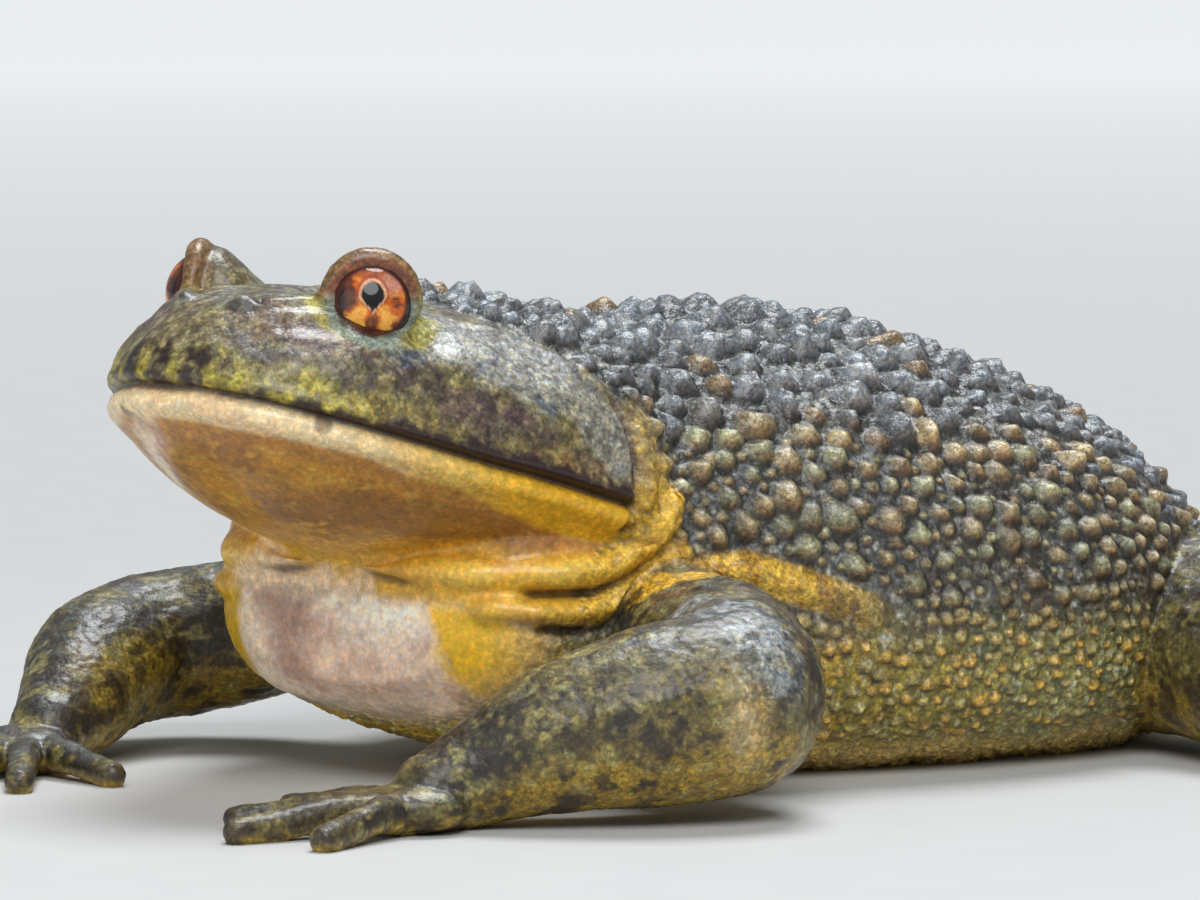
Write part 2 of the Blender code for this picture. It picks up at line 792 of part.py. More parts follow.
def carve_head(head, home):
    """Cuts the lips and nostrils into the uncut head."""
    for cutter in (lip_groove(head, home), nostril(head, 1, home), nostril(head, -1, home)):
        pieces = cut(head, cutter, home)
        head = pieces[0]
        for scrap in pieces[1:]:
            bpy.data.objects.remove(scrap, do_unlink=True)
    return head


def part_head(body, home):
    """Cuts the head off the torso behind the cheeks, and the lower jaw off along the mouth."""
    pieces = cut(body, sheet("neck_sheet", NECK_PROFILE, 70.0, home), home)
    torso, head = sorted(pieces[:2], key=lambda piece: -middle_of(piece)[1])
    for scrap in pieces[2:]:
        bpy.data.objects.remove(scrap, do_unlink=True)
    head = carve_head(head, home)
    pieces = cut(head, sheet("mouth_sheet", MOUTH_PROFILE, 70.0, home), home)
    head, jaw = sorted(pieces[:2], key=lambda piece: -middle_of(piece)[2])
    for scrap in pieces[2:]:
        bpy.data.objects.remove(scrap, do_unlink=True)
    torso.name = "torso"
    head.name = "head"
    jaw.name = "lower_jaw"
    return torso, head, jaw


def eyeball(side, extra, name, home):
    _, centre, _ = eye_parts(side)
    obj = ball(name, centre, (EYE_RADIUS + extra,) * 3, home)
    pose([obj])
    return obj


def set_eyes(head, home):
    """Sinks a socket for each eye in the head, and sets an eyeball in it."""
    eyes = []
    for side, word in ((1, "left"), (-1, "right")):
        pieces = cut(head, eyeball(side, GAP, f"socket_{word}", home), home)
        head = pieces[0]
        for scrap in pieces[1:]:
            bpy.data.objects.remove(scrap, do_unlink=True)
        eyes.append(eyeball(side, 0.0, f"eye_{word}", home))
    head.name = "head"
    return head, eyes


# Pose and place

def turned(points):
    """The points, in millimetres, with everything in front of TURN_BACK curved round to the left."""
    length = TURN_BACK - TURN_FRONT
    radius = length / HEAD_TURN
    ahead = np.clip(TURN_BACK - points[:, 1], 0, length)
    turn = ahead / radius
    straight = np.maximum(TURN_FRONT - points[:, 1], 0)
    behind = np.maximum(points[:, 1] - TURN_BACK, 0)
    x = radius * (1 - np.cos(turn)) + np.sin(turn) * straight + np.cos(turn) * points[:, 0]
    y = TURN_BACK + behind - radius * np.sin(turn) - np.cos(turn) * straight
    return np.stack([x, y + np.sin(turn) * points[:, 0], points[:, 2]], axis=1)


def pose(parts):
    for obj in parts:
        write_points(obj.data, turned(read_points(obj.data) / MM) * MM)


def centre_on_box(parts):
    """Moves the model so that its box stands centred on the origin."""
    points = np.concatenate([read_points(obj.data) for obj in parts])
    shift = -(points.min(axis=0) + points.max(axis=0)) / 2
    shift[2] = -points[:, 2].min()
    for obj in parts:
        write_points(obj.data, read_points(obj.data) + shift)
    print("model shift in mm", (shift / MM).round(4).tolist())


def skin_material(name, colour, roughness=0.4):
    material = bpy.data.materials.new(name)
    material.use_nodes = True
    shader = material.node_tree.nodes["Principled BSDF"]
    shader.inputs["Base Color"].default_value = (*colour, 1.0)
    shader.inputs["Roughness"].default_value = roughness
    shader.inputs["Metallic"].default_value = 0.0
    return material


def finish(parts, home):
    for obj in parts:
        kind = obj.name if obj.name in SKIN_COLOURS else "limb"
        if obj.name.startswith("eye"):
            kind = "eye"
        obj.data.materials.clear()
        obj.data.materials.append(skin_material(obj.name, SKIN_COLOURS[kind]))
        obj.data.shade_smooth()
        obj.data.set_sharp_from_angle(angle=math.radians(50.0))


def main():
    clear_scene()
    home = collection("chilean_giant_frog")
    body = flesh(home)
    raise_folds(body)
    raise_warts(body)
    rest_on_floor(body)
    pose([body])
    body = thin_out(body, FLESH_TRIANGLES, home)
    body, parts = part_limbs(body, home)
    torso, head, jaw = part_head(body, home)
    head, eyes = set_eyes(head, home)
    parts += [torso, head, jaw, *eyes]
    centre_on_box(parts)
    finish(parts, home)


main()
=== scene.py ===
"""Chilean giant frog: its skin, warts, folds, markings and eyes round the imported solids.

The skin is modelled straight in millimetres, nose towards -Y at y = 0 and the frog's left towards +X,
as its solids are. It is then turned with the head and moved to where the solids stand.
"""
import math

import bmesh
import bpy
import numpy as np
from mathutils import Matrix, Vector
from mathutils.kdtree import KDTree


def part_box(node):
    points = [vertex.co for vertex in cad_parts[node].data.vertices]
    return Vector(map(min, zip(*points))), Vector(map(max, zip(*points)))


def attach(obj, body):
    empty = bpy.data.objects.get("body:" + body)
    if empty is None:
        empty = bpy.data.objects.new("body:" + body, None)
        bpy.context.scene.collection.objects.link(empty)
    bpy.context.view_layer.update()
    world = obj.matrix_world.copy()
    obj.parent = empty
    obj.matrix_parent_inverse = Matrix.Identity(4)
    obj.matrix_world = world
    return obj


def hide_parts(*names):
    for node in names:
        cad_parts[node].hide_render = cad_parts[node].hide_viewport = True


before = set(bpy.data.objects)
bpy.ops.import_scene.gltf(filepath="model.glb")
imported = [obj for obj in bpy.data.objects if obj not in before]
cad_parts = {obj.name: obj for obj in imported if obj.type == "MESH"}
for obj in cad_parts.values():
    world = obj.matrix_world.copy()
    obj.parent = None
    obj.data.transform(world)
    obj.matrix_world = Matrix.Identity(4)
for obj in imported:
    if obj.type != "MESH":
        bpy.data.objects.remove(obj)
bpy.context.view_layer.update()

MM = 0.001
RNG_SEED = 7

# How the straight frog is turned: the angle, and from where to where the body bends
HEAD_TURN = math.radians(13)
TURN_FRONT = 55.0
TURN_BACK = 150.0

# Mesh fineness
VOXEL = 0.52
BALL_SEGMENTS = 40
BALL_RINGS = 24
TUBE_SIDES = 8
TUBE_STEPS = 10
EYE_SUBDIVISIONS = 6
SMOOTH_FACTOR = 0.5
SMOOTH_STEPS = 6
RING_POINTS = 96
SECTION_STEP = 2.0
FLOOR_SNAP = 0.3

# Head sections from nose to nape: y, half width, top, mouth line or widest height, bottom
HEAD_SECTIONS = (
    (2, 7, 74, 70.2, 67),
    (4.5, 13.5, 77.5, 69.2, 62.5),
    (9, 20, 81.3, 67.5, 58),
    (17, 27, 84.4, 65, 52),
    (28, 33.3, 85.4, 61, 45),
    (42, 38.5, 84.2, 56.4, 39),
    (56, 42.8, 82.6, 51.8, 34.5),
    (66, 45.4, 81.4, 48.5, 31.5),
    (74, 45.6, 80, 46.5, 31),
    (82, 41, 77, 46.5, 34),
    (90, 33, 71, 48, 40),
)
HEAD_POWERS = (2.4, 1.9)

# Torso sections from chest to vent, in the same columns
TORSO_SECTIONS = (
    (43, 24, 46, 31, 18),
    (47, 33, 58, 31, 14),
    (55, 39, 69, 33, 10.5),
    (66, 43, 76, 35, 6.5),
    (80, 47, 77.5, 36, 2.5),
    (96, 52, 76, 36, -1),
    (115, 57, 76.5, 34, -3),
    (135, 60.5, 76, 31, -3.5),
    (155, 61.5, 72.5, 29, -3.5),
    (175, 59, 66.5, 27, -3.5),
    (192, 52, 59, 26, -3),
    (206, 39, 50, 25, 0),
    (215, 24, 41, 24, 8),
    (220, 8, 31, 23, 16),
)
TORSO_POWERS = (2.1, 2.8)

# Eyes: the bulge of skin, and the ball set in it along its gaze and flattened behind
EYE_BULGE = (17.6, 32.6, 82.5)
EYE_BULGE_RADIUS = 8.4
EYE_RADIUS = 7.6
EYE_FORWARD = 2.3
EYE_BACK = 0.45
GAZE_OUT = math.radians(50)
GAZE_UP = math.radians(8)

# Lids round the opening: from and to which angle in degrees, and how thick
LID_RING = 7.15
LID_FORWARD = 5.0
UPPER_LID = (-20, 200, 2.1)
LOWER_LID = (175, 365, 1.35)
LID_STEPS = 14
LID_END = 0.55

# Behind its rim the upper lid slopes down to the head: from where, to where, and by what share
LID_SLOPE = (3.4, 14, 0.75)
LID_FOOT = 83.2

# Arms as each side holds them, x counted outwards, and legs: (x, y, z, radius) along each bone
LEFT_ARM = (
    (36, 80, 27, 13),
    (52, 76, 24, 14),
    (67, 70, 22, 15),
    (75, 60, 19.5, 15.5),
    (70, 46, 17.5, 15),
    (60, 32, 13.5, 12),
    (53, 22, 8.5, 8.5),
    (50, 16, 6, 7),
)
RIGHT_ARM = (
    (36, 80, 27, 12),
    (48, 77, 23, 12),
    (60, 71, 19.5, 12.5),
    (68, 60, 17, 13),
    (66, 48, 15, 12.5),
    (60, 36, 10, 10),
    (56, 27, 6.5, 7),
)
THIGH_LINE = (
    (24, 194, 22, 18.5),
    (48, 197, 19.5, 17.5),
    (72, 195, 15.5, 15),
    (92, 190, 12, 11),
)
SHANK_LINE = (
    (97, 194, 12, 10.5),
    (94, 211, 12, 11.5),
    (78, 225.5, 11.5, 11.5),
    (57, 234, 9.5, 9),
    (36, 241, 7, 6.4),
)
SOLE_LINE = (
    (33, 243, 6.3, 6),
    (39, 253, 5.2, 5.2),
    (54, 261, 4.6, 6),
    (73, 264, 4.2, 7.2),
)
LEFT_PALM = (50, 12, 4)
RIGHT_PALM = (54, 20, 4)
PALM_RADII = (9, 8.5, 4.2)

# Fingers and toes: their form is (share of the length, share of the arch, share of the radius)
FINGER_ROOT = 4.0
FINGER_ANGLES = (14, -18, -46, -82)
FINGER_LENGTHS = (24, 28, 25, 22)
FINGER_RADIUS = 2.8
TOE_ANGLES = (62, 80, 98, 115, 134)
TOE_LENGTHS = (24, 34, 46, 58, 46)
TOE_RADIUS = 2.7
DIGIT_ARCH = 3.3
DIGIT_FORM = ((0, 1, 1.25), (0.35, 1.15, 1), (0.7, 0.8, 0.9), (1, 0.55, 0.85))
WEB_THICKNESS = 1.6
WEB_FLOOR = 0.35
WEB_REACH = 0.72
WEB_BAY = 0.22

# The line of the mouth, as (y, z), and where its corner is
MOUTH_LINE = ((-6, 72.5), (3, 69.6), (16, 65), (42, 56.4), (70, 48), (92, 45.5))
MOUTH_CORNER = 69.0

# The back edge of the fine skin of the head, as (z, y)
CHEEK_EDGE = ((38, 58), (44, 66), (56, 69.5), (63, 69), (69, 67), (75, 60.5),
              (79, 54), (82, 48), (86, 45))

# The height where flank turns to back, as (y, z)
CREST_LINE = ((60, 62), (130, 60), (175, 50), (215, 32))

# Lines of folded skin on the left side
CHEEK_LINE = ((43.5, 65, 43), (45, 67.5, 48), (45, 69, 56), (43, 68.5, 63), (39.5, 66.5, 69))
CHEEK_STRIP = ((45, 70, 46), (46, 71.5, 52), (45.5, 72, 58), (43.5, 71, 64))
CHEEK_CREASE = ((46, 73.5, 46), (46, 75, 53), (45.5, 75, 59), (44, 73.5, 64))
TEMPLE_BAR = ((25, 47, 80), (32.5, 57, 77), (38.5, 64.5, 71.5), (42, 68, 66))
TEMPLE_CREASE = ((25, 51, 80.5), (32, 60.5, 77.5), (38, 67.5, 72), (42.5, 71, 66.5))
UPPER_ROLL = ((0, 43, 39), (14, 43.5, 38), (28, 46, 37.5), (38, 56, 37.5),
              (43, 65, 38.5), (45, 71, 42), (45.5, 77, 47), (44.5, 79, 53))
ROLL_CREASE = ((0, 43, 37.5), (14, 43.3, 36), (28, 46, 35), (37, 51.5, 34.5),
               (42, 61, 34.5), (44.5, 68.5, 37.5), (46.5, 75.5, 42), (47.5, 82, 46.5))
LOWER_ROLL = ((26, 45.5, 33), (32, 48, 32), (37, 52, 31.5), (42, 61, 31.5),
              (45.5, 69, 34.5), (48, 77, 39), (48, 81, 43))
UNDER_CREASE = ((35, 49.5, 29.5), (39.5, 56, 28.5), (43.5, 63, 28.5), (47.5, 70, 31.5),
                (49.5, 77, 35.8), (50, 86, 40.5))
SHOULDER_ROLL = ((49, 74, 35), (50, 82, 37.5), (51.5, 91, 37.5), (54.5, 102, 34),
                 (57, 112, 31), (60, 122, 27))
SHOULDER_CREASE = ((51, 80, 33.5), (53, 90, 33), (56, 100, 29.5), (58.5, 110, 26), (60, 120, 22))

# The blunt edge of the snout from nostril to eye, and the soft fold under it
SNOUT_EDGE = ((8, 14, 82.3), (12, 18.5, 83), (16, 23.5, 83.5), (19, 27, 83))
SNOUT_HOLLOW = ((14, 13.5, 79.5), (19, 18, 80), (23, 23, 79.5))

# Folds: height (below 0 for a crease), half width, line
FOLDS = (
    (1.1, 2.6, SNOUT_EDGE),
    (-0.7, 3.4, SNOUT_HOLLOW),
    (-1.3, 1.3, CHEEK_LINE),
    (0.9, 2, CHEEK_STRIP),
    (-0.8, 1.2, CHEEK_CREASE),
    (1, 2.4, TEMPLE_BAR),
    (-1.1, 1.6, TEMPLE_CREASE),
    (2.9, 4.2, UPPER_ROLL),
    (-2, 1.6, ROLL_CREASE),
    (2.7, 3.6, LOWER_ROLL),
    (-1.8, 1.7, UNDER_CREASE),
    (2.2, 3.6, SHOULDER_ROLL),
    (-1.8, 2.2, SHOULDER_CREASE),
)

# The share of a fold's length over which each end fades out
FOLD_TAPER = 0.14

# Swellings and hollows of the head: height (below 0 for a hollow), middle, half widths
SWELLINGS = (
    (-1.6, (15, 8.5, 79), (11, 9, 9)),
    (1.5, (7, 14, 83.3), (3.6, 3.4, 3.4)),
    (-1.7, (9.3, 15.8, 82.6), (1.9, 1.7, 2.2)),
    (-0.9, (24, 16, 79), (8, 8, 6)),
    (-0.9, (0, 24, 85.4), (6, 14, 5)),
    (-1.2, (28, 36, 76.5), (6, 6, 5)),
    (0.8, (39, 52, 62), (10, 14, 12)),
    (-0.6, (33, 34, 68), (6, 10, 7)),
)

NOSTRIL = (9.3, 15.9, 82.6)
NOSTRIL_RADII = (1.5, 1.3, 1.9)

# Warts: spacing, radius, height, share of the top that is flat, and how much taller to the rear
BACK_WARTS = (5.8, 3.5, 2.8, 0.32, 0.36)
SIDE_WARTS = (5, 2.9, 2.4, 0.10, 0.25)
FLANK_WARTS = (6.6, 2.3, 1.9, 0.06, 0.15)
SMALL_WARTS = (3.2, 1.2, 0.8, 0.06, 0)
LOW_WARTS = (3.2, 1.65, 1.15, 0.06, 0)
NAPE_WARTS = (3.4, 1.7, 0.8, 0.20, 0.1)
LEG_WARTS = (7.5, 1.6, 0.7, 0.20, 0)
CANDIDATES = 40000

# A wart's sides: least count and limit, stray, range of distances, sharpness and rounding
FACET_COUNTS = (5, 8)
FACET_STRAY = 0.3
FACET_REACHES = (0.82, 1.15)
FACET_SHARPNESS = 12.0
FACET_ROUNDING = 0.22

# How warts vary, as shares of their measures, and how rough they are
WART_SIZES = (0.66, 1.2)
WART_LENGTHS = (0.78, 1)
WART_HEIGHTS = (0.75, 1.15)
WART_ROUGHNESS = 0.16

# Marks: colour, strength, half width, and points along the middle; the head's are on both sides
HEAD_MARKS_AND_SHEEN = (
    ((104, 80, 68), 0.65, 7, ((13, 14, 81.5), (23, 21, 77.5))),
    ((158, 148, 42), 0.45, 3.6, ((9, 4, 75.5), (17, 7, 72.5), (25, 15, 71))),
    ((148, 138, 48), 0.35, 3, ((10, 6, 79.5), (12, 6, 76))),
    # Painted sheen: the next two pale grey marks are a painted sheen along the top of the cheek
    ((186, 190, 190), 0.60, 8, ((23, 36, 80), (30, 47, 77), (36, 56, 73.5))),
    ((158, 160, 154), 0.55, 7, ((30, 41, 74), (36, 50, 71), (41, 60, 66.5), (43.5, 65, 58))),
    ((92, 66, 70), 0.60, 3.2, ((34, 36, 66.5), (36.5, 39, 65))),
    ((92, 66, 70), 0.60, 3.4, ((37, 45, 64.5), (39, 48, 63))),
    ((96, 64, 58), 0.55, 3, ((42, 57, 56.5), (43.5, 61, 54.5))),
    ((146, 92, 40), 0.50, 3.2, ((39.5, 50, 58), (41, 54, 57.5))),
    ((66, 74, 88), 0.85, 3, ((29, 28.5, 75), (31, 31.5, 76))),
    ((70, 34, 34), 0.85, 1.7, ((26.5, 23.5, 75.2), (27.5, 24.5, 74.8))),
    ((70, 80, 96), 0.90, 2.5, ((38.5, 50.5, 65.6), (39.5, 52, 65))),
    ((60, 62, 66), 0.70, 3, ((6.5, 12.5, 83.5), (9.5, 13.5, 83))),
    ((34, 16, 13), 1, 3.8, ((7.5, 3.7, 74.8), (7, 3.2, 71.5))),
    ((34, 16, 13), 1, 3.8, ((0, 1.5, 76), (0, 2, 71.5))),
    ((48, 22, 18), 0.85, 2.8, ((12.5, 5.8, 73.2), (12.5, 6, 70.5))),
)
THROAT_MARKS = (
    ((140, 90, 28), 0.70, 9, ((18, 24, 49), (33, 44, 44))),
    ((216, 160, 44), 0.75, 7, ((0, 36, 44), (14, 41, 41), (30, 48, 38.5))),
    ((238, 208, 158), 0.85, 6, ((-18, 40, 43), (-15, 43, 39.5))),
    ((226, 172, 48), 0.70, 5, ((-24, 40, 44), (-10, 40, 43))),
    ((236, 216, 186), 0.85, 4.6, ((-5, 3.5, 64.5), (-10, 8, 59.5), (-15, 14, 54),
                                  (-19, 23, 48), (-25, 34, 43))),
    ((176, 118, 96), 0.60, 2.4, ((-4, 5, 62), (-8, 9, 57), (-12, 15, 52.5))),
)
THROAT_CLOUDS = (
    ((240, 212, 180), 0.85, 7, ((-25, 44, 36), (-14, 43, 35), (6, 43, 31))),
)
CHEST_CLOUDS_AND_HIGHLIGHT = (
    ((152, 104, 88), 0.90, 9.5, ((-18, 43, 33), (-13, 43, 27), (-13, 43, 22))),
    # Painted highlight: a near-white patch on the chest
    ((255, 246, 226), 0.90, 11, ((2, 43, 32), (14, 43.5, 27))),
    ((186, 142, 120), 0.60, 12, ((-6, 43, 17), (18, 46, 19))),
)
CHEST_MARKS = (
    ((228, 180, 22), 1, 11.5, ((28, 46, 30), (31, 49, 24), (37, 53, 16))),
    ((214, 172, 30), 1, 9, ((-31, 46, 36), (-31, 48, 16))),
)
LEFT_ARM_MARKS_AND_SHEEN = (
    # Painted sheen: the first two marks are a bluish-white painted sheen on top of the arm and a pale one
    # along the forearm
    ((158, 166, 172), 0.55, 11, ((66, 58, 35), (78, 57, 32), (85, 56, 26))),
    ((178, 170, 150), 0.60, 7, ((64, 32, 20), (76, 42, 22))),
    ((52, 54, 46), 0.80, 8, ((44, 62, 28), (46, 52, 22))),
    ((60, 38, 26), 0.80, 2.4, ((52, 57, 30), (54, 55, 29))),
    ((150, 122, 34), 0.75, 7, ((56, 24, 6), (84, 44, 6), (90, 60, 8))),
    ((96, 72, 44), 0.80, 2, ((50, 66, 33), (58, 67, 35), (68, 71, 36), (79, 71, 33.5), (86, 66, 28))),
    ((216, 168, 48), 0.90, 4.6, ((45, 68, 34.5), (52, 71, 37.5), (57, 75, 38.5), (56, 82, 38.5))),
)
RIGHT_ARM_MARKS_AND_SHADE = (
    ((140, 118, 34), 0.80, 10, ((-50, 52, 16), (-56, 36, 12))),
    ((148, 88, 34), 0.70, 6, ((-44, 62, 20), (-46, 50, 10))),
    # Painted shade: a dark line standing in for the shade of a fold in the arm's skin
    ((46, 44, 34), 0.80, 4.5, ((-42, 66, 34), (-42, 58, 14))),
)


def srgb(red, green, blue):
    """A colour as seen, 0 to 255, as linear values."""
    seen = np.array((red, green, blue)) / 255.0
    return np.where(seen <= 0.04045, seen / 12.92, ((seen + 0.055) / 1.055) ** 2.4)


# Place and pose

def turned(points):
    """The points, in millimetres, with everything in front of TURN_BACK curved round to the left."""
    length = TURN_BACK - TURN_FRONT
    radius = length / HEAD_TURN
    turn = np.clip(TURN_BACK - points[:, 1], 0, length) / radius
    straight = np.maximum(TURN_FRONT - points[:, 1], 0)
    behind = np.maximum(points[:, 1] - TURN_BACK, 0)
    x = radius * (1 - np.cos(turn)) + np.sin(turn) * straight + np.cos(turn) * points[:, 0]
    y = TURN_BACK + behind - radius * np.sin(turn) - np.cos(turn) * straight
    return np.stack([x, y + np.sin(turn) * points[:, 0], points[:, 2]], axis=1)


def direction(turn, rise):
    """The unit vector that is turned this far from forwards to the left, and raised this far."""
    return Vector((
        math.sin(turn) * math.cos(rise),
        -math.cos(turn) * math.cos(rise),
        math.sin(rise),
    ))


def eye_parts(side):
    """Where the skin bulge and the eyeball are, and the way the eye looks. side is 1 on the left."""
    bulge = Vector((side * EYE_BULGE[0], EYE_BULGE[1], EYE_BULGE[2]))
    gaze = direction(side * GAZE_OUT, GAZE_UP)
    return bulge, bulge + gaze * EYE_FORWARD, gaze


def model_shift():
    """How far the solids were moved from the straight frog's frame, in millimetres."""
    low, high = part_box("eye_left")
    centre = np.array(eye_parts(1)[1])[None]
    return np.array((low + high) / 2) / MM - turned(centre)[0]


def placed(points):
    """Straight frog millimetres as metres in the row frame."""
    return (turned(points) + SHIFT) * MM


SHIFT = model_shift()


# Mesh helpers

def link(data, name):
    obj = bpy.data.objects.new(name, data)
    bpy.context.scene.collection.objects.link(obj)
    return obj


def from_bmesh(bm, name):
    bmesh.ops.recalc_face_normals(bm, faces=bm.faces)
    mesh = bpy.data.meshes.new(name)
    bm.to_mesh(mesh)
    bm.free()
    return link(mesh, name)


def evaluated_copy(obj, name):
    """A mesh object that holds what obj's modifiers or curve settings make; obj is removed."""
    bpy.context.view_layer.update()
    graph = bpy.context.evaluated_depsgraph_get()
    mesh = bpy.data.meshes.new_from_object(obj.evaluated_get(graph), depsgraph=graph)
    bpy.data.objects.remove(obj, do_unlink=True)
    return link(mesh, name)


def read_points(mesh):
    points = np.empty(len(mesh.vertices) * 3)
    mesh.vertices.foreach_get("co", points)
    return points.reshape(-1, 3)


def write_points(mesh, points):
    mesh.vertices.foreach_set("co", points.astype(np.float32).ravel())
    mesh.update()


def read_normals(mesh):
    normals = np.empty(len(mesh.vertices) * 3)
    mesh.vertex_normals.foreach_get("vector", normals)
    return normals.reshape(-1, 3)


# Random fields

HASH_SEED = 2654435761
HASH_PRIMES = (73856093, 19349663, 83492791)
HASH_STEPS = ((13, 1274126177), (16, 2246822519))
HASH_MASK = 0xFFFFFFFF
NOISE_GAIN = 1.4
GRAIN_STRAY = 0.4
GRAIN_REACH = 0.62


def hashed(cells, seed):
    """A random number from -1 to 1 for each whole-number cell."""
    mixed = seed * HASH_SEED
    for axis, prime in enumerate(HASH_PRIMES):
        mixed = mixed ^ cells[..., axis].astype(np.int64) * prime
    for shift, factor in HASH_STEPS:
        mixed = (mixed ^ (mixed >> shift)) * factor & HASH_MASK
    return mixed / (HASH_MASK / 2) - 1.0


def noise(points, size, seed, octaves=1):
    """Smooth noise of about -1 to 1 with features of that size in millimetres."""
    total = np.zeros(len(points))
    weight, whole = 1.0, 0.0
    for octave in range(octaves):
        scaled = points / (size / 2**octave)
        cell = np.floor(scaled).astype(np.int64)
        part = scaled - cell
        part = part * part * (3 - 2 * part)
        value = np.zeros(len(points))
        for corner in range(8):
            offset = np.array((corner & 1, corner >> 1 & 1, corner >> 2 & 1))
            share = np.prod(np.where(offset, part, 1 - part), axis=1)
            value += share * hashed(cell + offset, seed + octave)
        total += weight * value
        whole += weight
        weight *= 0.5
    return total / whole * NOISE_GAIN


def grains(points, size, seed):
    """Grains of that size all over: 1 on top of a grain and 0 between, and a random number for each."""
    scaled = points / size
    home = np.floor(scaled).astype(np.int64)
    nearest = np.full(len(points), 9.0)
    chance = np.zeros(len(points))
    for corner in range(27):
        cell = home + (np.array((corner % 3, corner // 3 % 3, corner // 9)) - 1)
        middle = cell + 0.5 + GRAIN_STRAY * np.stack([hashed(cell, seed + k) for k in range(3)], axis=1)
        away = np.linalg.norm(scaled - middle, axis=1)
        closer = away < nearest
        nearest[closer] = away[closer]
        chance[closer] = hashed(cell[closer], seed + 3)
    return np.clip(1 - (nearest / GRAIN_REACH) ** 2, 0, 1), chance


def smooth(low, high, values):
    """0 below low and 1 above high, smoothly between; low may be the larger."""
    share = np.clip((values - low) / (high - low), 0.0, 1.0)
    return share * share * (3 - 2 * share)


def line_distance(points, line):
    """How far each point is from a line of points, and how far along it, from 0 to 1."""
    line = np.array(line)[:, :3]
    nearest = np.full(len(points), np.inf)
    place = np.zeros(len(points))
    for number, (start, end) in enumerate(zip(line, line[1:])):
        run = end - start
        share = np.clip((points - start) @ run / (run @ run), 0.0, 1.0)
        away = np.linalg.norm(points - start - share[:, None] * run, axis=1)
        closer = away < nearest
        nearest[closer] = away[closer]
        place[closer] = (number + share[closer]) / (len(line) - 1)
    return nearest, place


def nearness(points, line, reach, taper=0.0):
    """1 on the line and 0 beyond its reach, and less over the taper's share of its length at each end."""
    line = np.array(line)
    near = ((points > line.min(axis=0) - reach) & (points < line.max(axis=0) + reach)).all(axis=1)
    found = np.zeros(len(points))
    away, place = line_distance(points[near], line)
    found[near] = np.clip(1.0 - (away / reach) ** 2, 0.0, 1.0) ** 2
    if taper:
        found[near] *= smooth(0, taper, place) * smooth(1, 1.0 - taper, place)
    return found


# Flesh forms

def section_ring(section, powers):
    """Points round one cross-section, wide at its mouth line, as a superellipse above and below."""
    y, half_width, top, middle, bottom = section
    turn = np.arange(RING_POINTS) * 2 * math.pi / RING_POINTS
    across, up = np.cos(turn), np.sin(turn)
    power = np.where(up >= 0, *powers)
    reach = np.where(up >= 0, top - middle, middle - bottom)
    x = half_width * np.copysign(np.abs(across) ** (2 / power), across)
    z = middle + reach * np.copysign(np.abs(up) ** (2 / power), up)
    return [Vector((a, y, b)) for a, b in zip(x, z)]


def hermite(wanted, stations, values):
    """A cubic through the values."""
    slope = np.gradient(values, stations)
    index = np.clip(np.searchsorted(stations, wanted) - 1, 0, len(stations) - 2)
    width = stations[index + 1] - stations[index]
    t = (wanted - stations[index]) / width
    return (
        (2 * t**3 - 3 * t**2 + 1) * values[index]
        + (t**3 - 2 * t**2 + t) * width * slope[index]
        + (3 * t**2 - 2 * t**3) * values[index + 1]
        + (t**3 - t**2) * width * slope[index + 1]
    )


def loft(name, sections, powers):
    """A closed body through the sections."""
    table = np.array(sections)
    stations = table[:, 0]
    even = np.arange(stations[0], stations[-1], SECTION_STEP)
    wanted = np.unique(np.concatenate([even, stations]))
    columns = [wanted] + [hermite(wanted, stations, column) for column in table[:, 1:].T]
    bm = bmesh.new()
    rings = [[bm.verts.new(p) for p in section_ring(row, powers)] for row in np.array(columns).T]
    for first, second in zip(rings, rings[1:]):
        for i in range(RING_POINTS):
            j = (i + 1) % RING_POINTS
            bm.faces.new((first[i], first[j], second[j], second[i]))
    bm.faces.new(rings[0])
    bm.faces.new(list(reversed(rings[-1])))
    return from_bmesh(bm, name)


def tube(name, line):
    """A tapered tube with round ends along (x, y, z, radius) points."""
    curve = bpy.data.curves.new(name, "CURVE")
    curve.dimensions = "3D"
    curve.bevel_depth = 1.0
    curve.bevel_resolution = TUBE_SIDES
    curve.use_fill_caps = True
    curve.resolution_u = TUBE_STEPS
    spline = curve.splines.new("BEZIER")
    spline.bezier_points.add(len(line) - 1)
    for point, (x, y, z, radius) in zip(spline.bezier_points, line):
        point.co = Vector((x, y, z))
        point.radius = radius
        point.handle_left_type = "AUTO"
        point.handle_right_type = "AUTO"
    made = [evaluated_copy(link(curve, name), name)]
    for x, y, z, radius in (line[0], line[-1]):
        made.append(ball(f"{name}_end", (x, y, z), (radius,) * 3))
    return made


def ball(name, centre, radii):
    bm = bmesh.new()
    bmesh.ops.create_uvsphere(bm, u_segments=BALL_SEGMENTS, v_segments=BALL_RINGS, radius=1.0)
    place = Matrix.Translation(Vector(centre)) @ Matrix.Diagonal((*radii, 1.0))
    bmesh.ops.transform(bm, matrix=place, verts=bm.verts)
    return from_bmesh(bm, name)


def along(angle):
    """The unit direction on the floor that is this many degrees from forwards, towards the left."""
    turn = math.radians(angle)
    return math.sin(turn), -math.cos(turn)


def digit_line(root, angle, length, radius):
    """A finger or toe from its root, arched a little and thinner to its round tip."""
    x, y = along(angle)
    return [
        (root[0] + x * length * share, root[1] + y * length * share, DIGIT_ARCH * lift, radius * thick)
        for share, lift, thick in DIGIT_FORM
    ]


